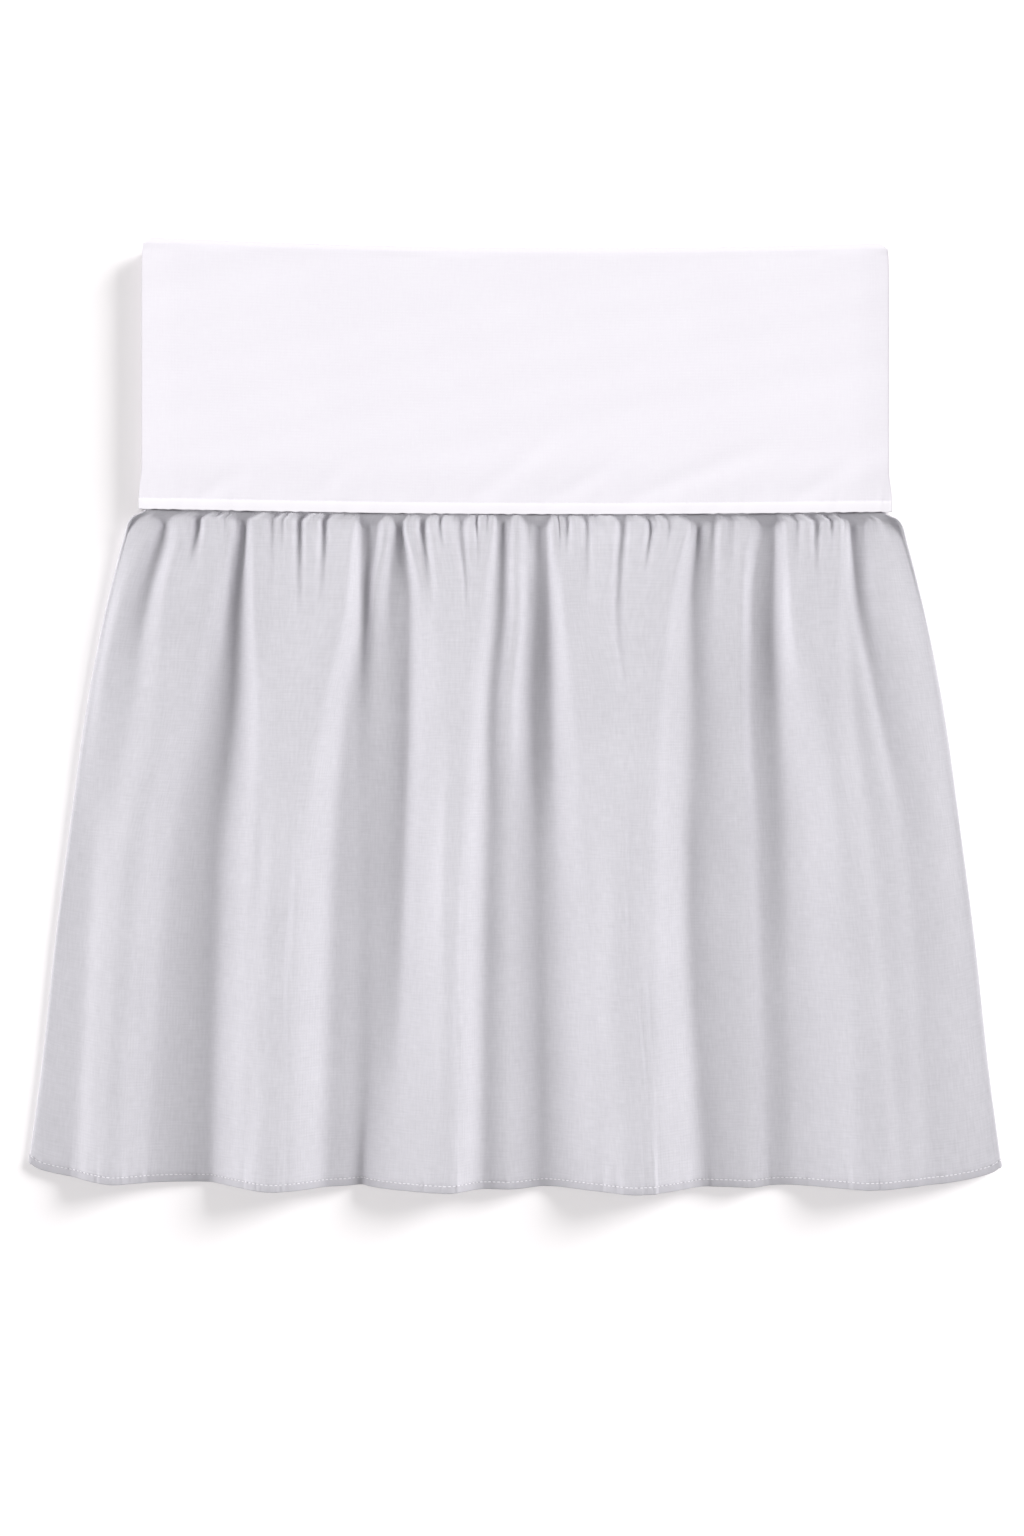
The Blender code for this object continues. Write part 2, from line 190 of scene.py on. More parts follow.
@dataclass(frozen=True)
class Stack:
    """The outline and thickness of the folded deck, which the ruffle is sewn to."""

    cloth: float = 1.2
    layer: float = 2.2  # between the middles of two layers that lie on each other
    turn: float = 2.6  # between a layer and its turned-under side
    seam_low: float = 120.2
    seam_low_x: float = 45.0
    seam_rise: float = 3.3  # by this much, at seam_reach from its lowest point
    seam_reach: float = 268.0
    top_low: float = 280.0
    top_low_x: float = 60.0
    top_rise: tuple[float, float] = (6.0, 2.6)  # at the left end and at the right
    top_reach: tuple[float, float] = (272.0, 155.0)
    seam_half: float = 225.0
    returned: float = 131.0  # how far each side is turned under
    further_right: float = 1.6
    further_from: tuple[float, float] = (100.0, 225.0)
    full: float = 0.88  # of the height of loosely stacked layers
    fuller: float = 0.08  # over the turned-under sides
    fuller_from: tuple[float, float] = (60.0, 130.0)
    pressed: float = 0.12  # at the rims
    pressed_from: tuple[float, float] = (202.0, 225.0)
    sewn_flat: float = 0.10  # at the seam
    sewn_up: tuple[float, float] = (0.0, 32.0)

    @property
    def fold(self) -> float:
        """Between two layers with both their turned-under sides in between."""
        return self.layer + 2 * self.turn

    @property
    def height(self) -> float:
        """From the middle of the bottom layer to the middle of the front layer."""
        return 2 * self.fold + self.layer

    def placed(self, points: Array) -> Array:
        """Moves the right side of a cloth a little further right, as it lies in the photograph.

        Args:
            points: places on the cloth.

        Returns:
            The moved places.
        """
        points = points.copy()
        points[..., 0] += self.further_right * eased(*self.further_from, points[..., 0])
        return points

    def seam_y(self, x: Array | float) -> Array:
        """Lower edge of the band, which sags a little right of the middle."""
        across = (np.asarray(x, float) - self.seam_low_x) / self.seam_reach
        return self.seam_low + self.seam_rise * across**2

    def top_y(self, x: Array | float) -> Array:
        """Top fold of the deck, higher at both ends over the turned-under sides.

        Args:
            x: places across the front.

        Returns:
            How far up the fold lies at each place.
        """
        x = np.asarray(x, float)
        left = self.top_rise[0] * (np.maximum(self.top_low_x - x, 0) / self.top_reach[0]) ** 2.2
        right = self.top_rise[1] * (np.maximum(x - self.top_low_x, 0) / self.top_reach[1]) ** 2
        return self.top_low + left + right

    def loft(self, x: Array | float, y: Array | float) -> Array:
        """How full the stack is: fuller over the turned-under sides, pressed at rims and seam.

        Args:
            x: places across the front.
            y: places up the front.

        Returns:
            The share of its loose height that is left at each place.
        """
        across = np.abs(x)
        fullness = self.full + self.fuller * eased(*self.fuller_from, across)
        fullness = fullness - self.pressed * eased(*self.pressed_from, across)
        rise = eased(*self.sewn_up, y - self.seam_y(x))
        return fullness * (1 - self.sewn_flat + self.sewn_flat * rise)

    def z(self, x: Array | float, y: Array | float, height: Array | float) -> Array:
        """Height off the surface of a place in the stack, once the stack is pressed down."""
        return self.cloth / 2 + height * self.loft(x, y)


# --- sheets -----------------------------------------------------------------------------------------


def as_piece(shape: bmesh.types.BMesh, name: str, finish: Finish) -> bpy.types.Object:
    """Turns a finished shape into a piece.

    Args:
        shape: the shape, in metres; it is freed.
        name: the piece's name.
        finish: what it is made of.

    Returns:
        The piece, at the origin.
    """
    mesh = bpy.data.meshes.new(name)
    shape.to_mesh(mesh)
    shape.free()
    piece = bpy.data.objects.new(name, mesh)
    bpy.context.scene.collection.objects.link(piece)
    mesh.materials.append(finish.material())
    return piece


@dataclass
class Grid:
    """A cloth as a grid of places, in millimetres: rows run down the cloth, columns across it. Places
    that aren't kept are left out of it."""

    points: Array
    across: Array
    along: Array
    thickness: Array
    keep: Array

    def build(self, name: str, finish: Finish) -> bpy.types.Object:
        """Makes the cloth a closed sheet.

        Args:
            name: the piece's name.
            finish: what it is made of.

        Returns:
            The piece, at the origin, with its cloth coordinates in a UV map called cloth.
        """
        rows, columns = self.points.shape[:2]
        shape = bmesh.new()
        bmesh.ops.create_grid(shape, x_segments=columns - 1, y_segments=rows - 1, size=0.5)
        weights = shape.verts.layers.deform.verify()
        cloth = shape.loops.layers.uv.new("cloth")
        places, dropped = {}, []
        widest = float(self.thickness.max())
        for vertex in shape.verts:
            j = round((vertex.co.x + 0.5) * (columns - 1))
            i = round((vertex.co.y + 0.5) * (rows - 1))
            places[vertex] = (float(self.across[i, j]) * METRES, float(self.along[i, j]) * METRES)
            vertex.co = self.points[i, j] * METRES
            vertex[weights][0] = float(self.thickness[i, j]) / widest
            if not self.keep[i, j]:
                dropped.append(vertex)
        for face in shape.faces:
            face.smooth = True
            for loop in face.loops:
                loop[cloth].uv = places[loop.vert]
        bmesh.ops.delete(shape, geom=dropped, context="VERTS")
        piece = as_piece(shape, name, finish)
        piece.vertex_groups.new(name="layers of cloth")
        wall = piece.modifiers.new("thickness", "SOLIDIFY")
        wall.thickness = widest * METRES
        wall.offset = 0.0
        wall.vertex_group = "layers of cloth"
        return piece


def lengths(points: Array) -> Array:
    """Distance along a line of points, from its first."""
    steps = np.linalg.norm(np.diff(points, axis=0), axis=1)
    return np.concatenate(([0.0], np.cumsum(steps)))


# --- deck -------------------------------------------------------------------------------------------


# Rows of the band, as distances up from its lower edge.
BAND_ROWS = (0.0, 0.5, 1.1, 1.8, 2.6, 3.4, 4.2, 4.9, 5.5, 6.0, 6.4, 6.8, 7.3, 8.0)
UNDER_SHARES = (1.0, 0.8, 0.6, 0.4, 0.26, 0.16, 0.09, 0.04)  # columns of a turned-under side

# Puckers of the band: at its stitches, at its lower edge, and wide and soft above it.
BAND_PUCKERS = (
    dict(high=0.20, pitch=5.5, seed=3, off=0.6, wide=4.2),
    dict(high=0.10, pitch=2.8, seed=4, off=0.0, wide=1.8),
    dict(high=0.22, pitch=4.6, seed=9, off=-6.4, wide=1.5),
    dict(high=0.22, pitch=17, seed=5, off=1.6, wide=11),
)

# Drag lines: troughs that the gathers pull into the deck, from the band upwards.
DRAGS = (
    dict(start=(-188, 130), end=(-158, 150), deep=0.35, wide=5),
    dict(start=(-22, 131), end=(30, 172), deep=0.45, wide=6),
    dict(start=(26, 131), end=(66, 154), deep=0.40, wide=5),
    dict(start=(74, 131), end=(166, 166), deep=0.50, wide=6),
    dict(start=(170, 131), end=(214, 160), deep=0.45, wide=6),
    dict(start=(-120, 131), end=(-92, 158), deep=0.25, wide=5),
)


@dataclass(frozen=True)
class Deck:
    """The white sheet, folded back and forth behind its front, with its topstitched band."""

    stack: Stack
    finish: Finish
    thread: Finish
    cloth: float = 0.9
    turned: float = 1.5  # thickness of the turned edge
    band: float = 6.4
    band_high: float = 0.22
    band_wide: float = 3.2
    low_fold_up: float = 13.0  # the lower fold stays this far above the band's edge
    end_up: float = 3.0  # and the last layer's end this far
    notch: float = 9.0  # the turned-under sides of the front layer start this far up
    face_long: float = 150.0  # about what is left from there to the top fold
    corner_in: float = 3.6  # how far the top fold draws the corners in
    shoulder_in: float = 0.9  # and the front just below it, dying out over shoulder
    shoulder: float = 5.0
    pillow: float = 1.3  # how far the front sinks at its rims, dying out over pillow_wide
    pillow_wide: float = 5.0
    waist_in: float = 1.8  # how much narrower the front gets on each side, over waist_up
    waist_up: tuple[float, float] = (8.0, 26.0)
    inner_short: float = 2.0  # how much lower the inner fold lies than the top fold
    edge_wave: float = 0.22  # how uneven the lower edge is
    edge_wave_up: tuple[float, float] = (0.0, 5.0)
    front_turn: float = math.radians(76)  # columns lie closer together towards the rims
    hidden_round: float = 0.6 * math.pi  # past this angle round a rim the cloth is behind
    stitched_round: float = 0.55 * math.pi  # up to this angle round a rim the band is stitched
    stitch: float = 2.8
    stitch_thick: float = 0.36
    flat: tuple[float, float] = (0.711, 0.640)  # in metres

    def rows(self) -> list[tuple[Stretch, float]]:
        """Lays out the rows, from the band round the stack to its last layer.

        Returns:
            Each row's stretch and how far along it lies: in millimetres up the band, as an angle
            in a fold, and elsewhere as a share.
        """
        rows = [(Stretch.BAND, up) for up in (*BAND_ROWS, self.notch)]
        rows += [(Stretch.FACE, q) for q in np.linspace(0, 1, 72)[1:-1]]
        rows += [(Stretch.TOP_FOLD, math.pi * q) for q in np.linspace(0, 1, 15)]
        rows += [(Stretch.SECOND, q) for q in (0.25, 0.5, 0.75)]
        rows += [(Stretch.LOW_FOLD, math.pi * q) for q in np.linspace(0, 1, 8)]
        rows += [(Stretch.THIRD, q) for q in (0.25, 0.5, 0.75)]
        rows += [(Stretch.INNER_FOLD, math.pi * q) for q in np.linspace(0, 1, 13)]
        return rows + [(Stretch.LAST, q) for q in (0.25, 0.5, 0.75, 1.0)]

    def columns(self) -> list[tuple[Part, float, int]]:
        """Lays out the columns from side to side.

        Returns:
            Each column's part, its place there (a share, or an angle round a rim), and its side.
        """
        under = [(Part.UNDER, q) for q in UNDER_SHARES]
        rim = [(Part.RIM, math.pi * (1 - q)) for q in np.arange(9) / 9]
        front = np.sin(np.linspace(-1, 1, 181) * self.front_turn) / math.sin(self.front_turn)
        sides = [(part, value, -1) for part, value in under + rim]
        columns = sides + [(Part.FRONT, value, 1) for value in front]
        return columns + [(part, value, 1) for part, value, _ in reversed(sides)]

    def row_place(self, row: tuple[Stretch, float], x: Array) -> tuple[Array, Array, float, float]:
        """Where a row runs at x.

        Args:
            row: the row's stretch, and how far along the stretch it lies.
            x: places across the front.

        Returns:
            y, the height in the stack, and the y and z of the normal out of the cloth's face.
        """
        stack, (stretch, along) = self.stack, row
        low = stack.seam_y(x)
        high = stack.top_y(x) - stack.fold / 2 - stack.cloth / 2
        inner_high, low_fold = high - self.inner_short, low + self.low_fold_up
        turn, small = stack.fold / 2, stack.layer / 2
        c, s = math.cos(along), math.sin(along)
        level = np.zeros_like(x)
        places = {
            Stretch.BAND: (low + along, level + stack.height, 0.0, 1.0),
            Stretch.FACE: (mix(low + self.notch, high, along), level + stack.height, 0.0, 1.0),
            Stretch.TOP_FOLD: (high + turn * s, level + stack.height - turn + turn * c, s, c),
            Stretch.SECOND: (mix(high, low_fold, along), level + stack.height - stack.fold, 0.0, -1.0),
            Stretch.LOW_FOLD: (low_fold - small * s, level + stack.fold + small + small * c, s, -c),
            Stretch.THIRD: (mix(low_fold, inner_high, along), level + stack.fold, 0.0, 1.0),
            Stretch.INNER_FOLD: (inner_high + turn * s, level + turn + turn * c, s, c),
            Stretch.LAST: (mix(inner_high, low + self.end_up, along), level, 0.0, -1.0),
        }
        return places[stretch]

    def half(self, row: tuple[Stretch, float]) -> float:
        """Half the width of the front in a row, to where its rims start.

        Args:
            row: the row's stretch, and how far along the stretch it lies.

        Returns:
            The half width.
        """
        stretch, along = row
        half = self.stack.seam_half - self.stack.turn / 2 - self.stack.cloth / 2
        if stretch is Stretch.BAND:
            return half - self.waist_in * float(eased(*self.waist_up, along))
        if stretch is Stretch.FACE:
            waist = self.waist_in * float(eased(*self.waist_up, self.notch + self.face_long * along))
            fades = math.exp(-self.face_long * (1 - along) / self.shoulder)
            return half - waist - self.shoulder_in * fades
        if stretch in (Stretch.TOP_FOLD, Stretch.INNER_FOLD):
            return half - self.waist_in - self.shoulder_in - self.corner_in * math.sin(along)
        return half - self.waist_in

    def relief(self, x: Array, y: Array) -> Array:
        """How far the front stands out of its even surface: the band and its puckers, the drag
        lines, and the soft unevenness of cloth that lies on other cloth.

        Args:
            x: places across the front.
            y: places up the front.

        Returns:
            The height at each place, below 0 where the front sinks.
        """
        up = y - self.stack.seam_y(x)
        band = self.band_high * hump(up, self.band / 2, self.band_wide)
        groove = -(0.14 + 0.12 * ripple(x, 6.5, 8)) * hump(up, self.band, 1.1)
        pucker = puckers(BAND_PUCKERS, x, up, self.band)
        soft = 0.22 * ripple(x + 0.35 * y, 74, 6) + 0.16 * ripple(y - 0.2 * x, 41, 7)
        soft *= eased(6, 40, up)
        inside = (self.stack.seam_half - self.waist_in - np.abs(x)).clip(0)
        sunk = -self.pillow * np.exp(-inside / self.pillow_wide)
        return band + groove + pucker + soft + self.dragged(x, y) + sunk

    def dragged(self, x: Array, y: Array) -> Array:
        """How the drag lines shape the front: each is a trough that widens on its way, with a lower
        ridge beside it.

        Args:
            x: places across the front.
            y: places up the front.

        Returns:
            The height at each place.
        """
        drag = np.zeros_like(x)
        for line in DRAGS:
            (x0, y0), (x1, y1) = line["start"], line["end"]
            long = math.hypot(x1 - x0, y1 - y0)
            ux, uy = (x1 - x0) / long, (y1 - y0) / long
            share = ((x - x0) * ux + (y - y0) * uy) / long
            off = (y - y0) * ux - (x - x0) * uy
            fade = eased(-0.15, 0.1, share) * (1 - eased(0.55, 1.1, share))
            drag -= line["deep"] * hump(off, 0, line["wide"] * (0.7 + 0.6 * np.clip(share, 0, 1))) * fade
            drag += 0.6 * line["deep"] * hump(off, -1.8 * line["wide"], 1.4 * line["wide"]) * fade
        return drag

    def grid(self) -> Grid:
        """Works out the whole cloth, with its fold lines in the stack's shape.

        Returns:
            The cloth's grid.
        """
        rows, columns, stack = self.rows(), self.columns(), self.stack
        is_rim = np.array([part is Part.RIM for part, _, _ in columns])
        is_under = np.array([part is Part.UNDER for part, _, _ in columns])
        value = np.array([v for _, v, _ in columns], float)
        side = np.array([s for _, _, s in columns], float)
        points = np.zeros((len(rows), len(columns), 3))
        keep = np.ones((len(rows), len(columns)), bool)
        thick = np.full((len(rows), len(columns)), self.cloth)
        behind = is_under | (is_rim & (value > self.hidden_round))
        for i, row in enumerate(rows):
            half = self.half(row)
            x = value * half
            x = np.where(is_rim, side * (half + stack.turn / 2 * np.sin(value)), x)
            x = np.where(is_under, side * (half - stack.returned * value), x)
            inward = np.where(is_rim, stack.turn / 2 * (1 - np.cos(value)), 0.0)
            inward = np.where(is_under, stack.turn, inward)
            y, height, normal_y, normal_z = self.row_place(row, x)
            y = y - normal_y * inward
            if row[0] is Stretch.BAND:
                y = y + self.edge_wave * ripple(x, 8, 12) * (1 - float(eased(*self.edge_wave_up, row[1])))
            z = stack.z(x, y, height - normal_z * inward)
            if row[0] in (Stretch.BAND, Stretch.FACE):
                shown = np.where(is_under, 0.0, np.where(is_rim, 0.5 + 0.5 * np.cos(value), 1.0))
                z = z + self.relief(x, y) * shown
            points[i] = np.stack([x, y, z], axis=1)
            if row[0] is Stretch.BAND:
                keep[i] = ~(behind & (row[1] < self.notch))
                if row[1] < self.band:
                    thick[i] = self.turned
        middle = len(columns) // 2
        over = lengths(points[len(rows) // 3]) - stack.returned
        along = lengths(points[:, middle])
        across, along = np.meshgrid(over, along)
        return Grid(stack.placed(points), across, along, thick, keep)

    def build(self) -> list[bpy.types.Object]:
        """Makes the deck and the stitches of its band.

        Returns:
            The deck and its stitching.
        """
        grid = self.grid()
        deck = grid.build("deck_cloth", self.finish)
        at = self.rows().index((Stretch.BAND, self.band))
        first = next(
            j for j, (part, turn, _) in enumerate(self.columns())
            if part is Part.RIM and turn < self.stitched_round
        )  # fmt: skip
        seen = slice(first, grid.points.shape[1] - first)
        seam = Stitching("band_stitching", self.thread, self.stitch, self.stitch_thick, self.cloth / 2)
        return [deck, seam.build(grid.points[at, seen], grid.points[at + 1, seen])]


# --- stitching --------------------------------------------------------------------------------------


@dataclass(frozen=True)
class Stitching:
    """A row of lockstitches on a cloth's face, each a short rounded length of thread."""

    name: str
    finish: Finish
    pitch: float
    thick: float
    off: float
    gap_share: float = 0.24
    astray: float = 0.12  # how far a stitch may lie from its even place
    uneven: tuple[float, float] = (0.94, 1.06)  # how long it may be, as shares
    seed: int = 11

    def build(self, line: Array, beside: Array) -> bpy.types.Object:
        """Makes all stitches of a row as one mesh.

        Args:
            line: places along the seam, in the middle of the cloth.
            beside: places next to them, further up the cloth, which give the cloth's slope.

        Returns:
            The row of stitches.
        """
        at = lengths(line)
        draws = np.random.default_rng(self.seed)
        shape = bmesh.new()
        for k in range(int(at[-1] / self.pitch)):
            middle = (k + 0.5) * self.pitch + draws.uniform(-self.astray, self.astray)
            ends = [self._read(line, at, middle + s * 0.5 * self.pitch) for s in (-1, 1)]
            here = self._read(line, at, middle)
            up = self._read(beside, at, middle) - here
            run = ends[1] - ends[0]
            run /= np.linalg.norm(run)
            normal = np.cross(run, up)
            normal /= np.linalg.norm(normal)
            beside_run = np.cross(normal, run)
            turn = Matrix((Vector(run), Vector(beside_run), Vector(normal))).transposed().to_4x4()
            place = Vector(here + normal * (self.off + 0.12 * self.thick))
            long = self.pitch * (1 - self.gap_share) * draws.uniform(*self.uneven)
            size = Matrix.Diagonal((long / 2, self.thick / 2, self.thick / 2.4, 1.0))
            to_mesh = Matrix.Scale(METRES, 4) @ Matrix.Translation(place) @ turn @ size @ LYING
            bmesh.ops.create_uvsphere(shape, u_segments=6, v_segments=4, radius=1.0, matrix=to_mesh)
        for face in shape.faces:
            face.smooth = True
        return as_piece(shape, self.name, self.finish)

    @staticmethod
    def _read(line: Array, at: Array, where: float) -> Array:
        """The place on a line at a distance from its start.

        Args:
            line: the line's points.
            at: how far each point is from the first.
            where: the distance asked for.

        Returns:
            The place.
        """
        return np.array([np.interp(where, at, line[:, k]) for k in range(3)])


LYING = Matrix.Rotation(math.pi / 2, 4, "Y")  # lays a sphere's poles along the stitch


# --- ruffle -----------------------------------------------------------------------------------------

STATIONS = (10, 52, 112, 214, 404)  # distances below the seam
RIM_TOP_Z = (8.0, 5.5, 3.8, 3.3, 3.1)  # top of the rims at the stations
EDGE_DOWN = (0, 4, 9, 19, 38, 70, 124, 196, 268, 340, 404)  # distances below the seam
EDGE_HALF = (225.5, 228.5, 232, 235, 240, 247.5, 257.5, 267.3, 276.3, 283.8, 292)  # half the width there

# Rows close to the seam and to the hem's stitches, as distances from them.
HEAD_ROWS = (-2.5, 0.0, 0.3, 0.6, 0.9, 1.3, 1.8, 2.4, 3.2)
HEM_ROWS = (-3, -1.2, -0.5, 0, 0.5, 1.3, 2.6)

# Fold lines of the ruffle's front, from left to right, followed at the stations, which are distances
# below the seam: x says where a line runs, and z how high the middle of the cloth stands there.
FOLDS = (
    dict(line="outer ridge, left", x=(-217.2, -233.4, -245.4, -253.2, -265.2), z=(11, 11, 9.5, 8, 7.5)),
    dict(line="slanting valley", x=(-210, -220.2, -229.8, -242.4, -253.2), z=(6.5, 7, 10.5, 14, 15.5)),
    dict(line="first fold", x=(-196.8, -206.4, -208.8, -228, -241.2), z=(14.5, 15.5, 18.5, 20, 20)),
    dict(line="first fold, right", x=(-181.2, -184.8, -195.6, -216, -229.2), z=(14.5, 16.5, 15.5, 15.5, 15)),
    dict(line="first fold, foot", x=(-171.6, -175.2, -185.4, -205.2, -218.4), z=(13.5, 12.5, 11, 9.5, 9)),
    dict(line="first valley, ledge", x=(-166.8, -170.4, -176.4, -191.4, -202.8), z=(11, 8, 6.5, 5.5, 5)),
    dict(line="first valley", x=(-161.4, -165, -168, -180, -184.2), z=(7, 6, 3.8, 3.2, 3.4)),
    dict(line="second fold, edge", x=(-158.4, -159.9, -159.6, -166.2, -174), z=(12, 11.5, 10.5, 11, 10)),
    dict(line="second fold, left", x=(-154.2, -154.2, -151.8, -154.8, -162), z=(14.5, 16.5, 17.5, 19, 19)),
    dict(line="second fold", x=(-128.4, -128.4, -134.4, -138, -145.2), z=(15.5, 19, 22.5, 25, 27)),
    dict(line="second fold, right", x=(-97.8, -102, -115.2, -128.4, -134.4), z=(14, 17.5, 20.5, 22, 24.5)),
    dict(line="second fold, foot", x=(-94.2, -95.4, -106.8, -118.2, -124.2), z=(11, 12.5, 15, 16, 19)),
    dict(line="second fold, crease", x=(-91.8, -92.4, -100.2, -107.4, -112.8), z=(8, 9, 9.5, 8.5, 11)),
    dict(line="ledge beside the crease", x=(-90.3, -91.2, -96.6, -98.4, -100.8), z=(7, 8, 8, 6.5, 8)),
    dict(line="second valley", x=(-88.2, -88.8, -93, -88.8, -91.8), z=(6.5, 7, 7, 4.5, 3.4)),
    dict(line="ridge in second valley", x=(-76.8, -82.8, -84, -81.6, -86.4), z=(13, 12, 8, 4.8, 7.5)),
    dict(line="second valley, floor", x=(-71.4, -73.8, -74.4, -73.8, -81), z=(9, 6.8, 6.5, 4.6, 11)),
    dict(line="second valley, right", x=(-67.8, -63.6, -63.6, -67.2, -75), z=(7, 6.5, 4.6, 4.5, 14.5)),
    dict(line="third fold, edge", x=(-63.6, -55.8, -55.2, -58.8, -63.6), z=(13.5, 12.5, 12.5, 11.5, 19)),
    dict(line="third fold, left", x=(-49.8, -45, -43.8, -46.8, -48), z=(15, 17.5, 19.5, 19.5, 23.5)),
    dict(line="third fold", x=(-35.4, -31.2, -33.6, -38.4, -40.2), z=(15.5, 19, 22.5, 24, 25)),
    dict(line="third fold, right", x=(-14.4, -20.4, -25.8, -30.6, -32.4), z=(14.5, 17.5, 20.5, 21.5, 21.5)),
    dict(line="third fold, crease", x=(-6.6, -7.2, -13.2, -15.6, -18), z=(9, 10.5, 12.5, 11.5, 12)),
    dict(line="ridge beside third fold", x=(0.6, 1.8, -2.4, -5.4, -3.6), z=(14, 16, 16.5, 12.5, 13.5)),
    dict(line="third valley, left", x=(8.4, 9, 3.6, 4.8, 9.6), z=(11, 10, 10.5, 8.5, 8)),
    dict(line="third valley", x=(15.6, 15, 10.8, 16.8, 18.6), z=(7, 7.5, 4.8, 3.5, 3.3)),
    dict(line="third valley, right", x=(19.8, 20.4, 21, 24.6, 26.4), z=(8, 7.5, 5, 6, 5)),
    dict(line="fourth fold, edge", x=(22.8, 24.6, 27.6, 31.2, 35.4), z=(12.5, 12, 11, 10.5, 9.5)),
    dict(line="fourth fold, left", x=(29.4, 30.6, 37.2, 43.2, 51.6), z=(14.5, 17, 18, 18, 18.5)),
    dict(line="fourth fold", x=(51.6, 51.6, 60.6, 64.2, 75.6), z=(15.5, 20, 22.5, 25.5, 27)),
    dict(line="fourth fold, right", x=(102, 91.2, 84.6, 80.4, 86.4), z=(14, 17.5, 20, 22.5, 23.5)),
    dict(line="fourth fold, foot", x=(105.6, 100.2, 94.8, 92.4, 99.6), z=(11, 12, 14, 14.5, 15.5)),
    dict(line="fourth valley", x=(110.4, 107.4, 109.2, 105.6, 115.2), z=(7.5, 7.5, 6.5, 6.5, 6)),
    dict(line="ridge in fourth valley", x=(124.8, 123.6, 123.6, 124.8, 133.2), z=(14, 13, 10.5, 8.5, 8.5)),
    dict(line="ridge beside fifth valley", x=(136.2, 135, 135.6, 138, 142.2), z=(14.5, 15, 12.5, 11.5, 10)),
    dict(line="fifth valley, left", x=(148.8, 142.8, 142.2, 147.6, 153.6), z=(8, 8.5, 7, 6, 5)),
    dict(line="fifth valley", x=(156, 154.8, 156, 158.4, 162.6), z=(7.5, 6.5, 3.6, 3.4, 3.4)),
    dict(line="fifth fold, edge", x=(160.2, 159.6, 164.4, 171.6, 175.2), z=(12.5, 10, 9, 8, 6.5)),
    dict(line="fifth fold, left", x=(166.2, 165.6, 172.2, 184.8, 193.2), z=(14.5, 16, 14.5, 15, 14)),
    dict(line="fifth fold", x=(178.8, 178.8, 186, 200.4, 211.2), z=(15.5, 18.5, 20.5, 21, 21.5)),
    dict(line="fifth fold, right", x=(193.2, 190.8, 193.8, 206.4, 222), z=(14.5, 17, 18, 19.5, 21)),
    dict(line="crease in right side", x=(196.2, 196.8, 202.8, 214.8, 231), z=(12, 13.5, 13.5, 16, 17.5)),
    dict(line="ridge beside the crease", x=(197.7, 200.4, 208.8, 225.6, 237.6), z=(10.5, 11, 13, 14.5, 16)),
    dict(line="slanting valley, right", x=(200.4, 205.8, 217.2, 236.4, 248.4), z=(6.5, 7.5, 8.5, 11, 12)),
    dict(line="outer ridge, right", x=(213.6, 218.4, 231, 246.6, 261.6), z=(12, 13, 12, 11, 10.5)),
)  # fmt: skip

# Gathers: troughs between the fold lines. Each starts under the band at x and follows the threads of
# the cloth down, as deep and half as wide as it says, until it has run out.
GATHERS = (
    dict(x=-228.6, deep=3, wide=3.6, runs=40),
    dict(x=-189.6, deep=4.4, wide=4, runs=62),
    dict(x=-179.4, deep=1.2, wide=2.4, runs=22),
    dict(x=-144.6, deep=2.8, wide=4, runs=90),
    dict(x=-128.4, deep=4.2, wide=3.4, runs=90),
    dict(x=-113.4, deep=3.6, wide=3.8, runs=90),
    dict(x=-102, deep=1.4, wide=2.8, runs=26),
    dict(x=-81.6, deep=2.6, wide=2.8, runs=40),
    dict(x=-54.6, deep=5, wide=3.6, runs=66),
    dict(x=-45, deep=1.8, wide=2.6, runs=24),
    dict(x=-31.2, deep=3.6, wide=3.8, runs=80),
    dict(x=-22.2, deep=1, wide=2, runs=14),
    dict(x=7.8, deep=2, wide=2.6, runs=24),
    dict(x=31.2, deep=1.8, wide=2.8, runs=30),
    dict(x=43.8, deep=3, wide=3.6, runs=80),
    dict(x=64.8, deep=4, wide=4.4, runs=120),
    dict(x=81.6, deep=2.6, wide=3.6, runs=60),
    dict(x=93.6, deep=1.8, wide=3, runs=40),
    dict(x=120.6, deep=3.2, wide=3.4, runs=90),
    dict(x=131.4, deep=2.4, wide=3.6, runs=70),
    dict(x=169.2, deep=2.4, wide=3.4, runs=60),
    dict(x=180, deep=4, wide=3.8, runs=80),
    dict(x=189, deep=2.4, wide=3.4, runs=60),
    dict(x=208.2, deep=2.4, wide=3, runs=44),
    dict(x=220.8, deep=2, wide=4.6, runs=60),
)

# Puckers that the hem's stitches draw up.
HEM_PUCKERS = (
    dict(high=0.22, pitch=4.2, seed=41, off=1.5, wide=4.0),
    dict(high=0.24, pitch=9.0, seed=42, off=0.0, wide=7.0),
)

# Soft waves over the folds: they slant across the threads, and swell and sink on their way down.
SOFT_WAVES = (
    dict(high=0.5, slant=0.10, pitch=37, seed=31, swells=61, start=1.0),
    dict(high=0.12, slant=-0.16, pitch=17, seed=32, swells=34, start=2.1),
    dict(high=0.25, slant=0.0, pitch=60, seed=33, swells=23, start=0.0),
)

# The hem's ends curve up: by how much at a rim, and how far in from it that dies out.
CORNERS = (dict(rise=3.0, fades=2.5), dict(rise=6.5, fades=22))


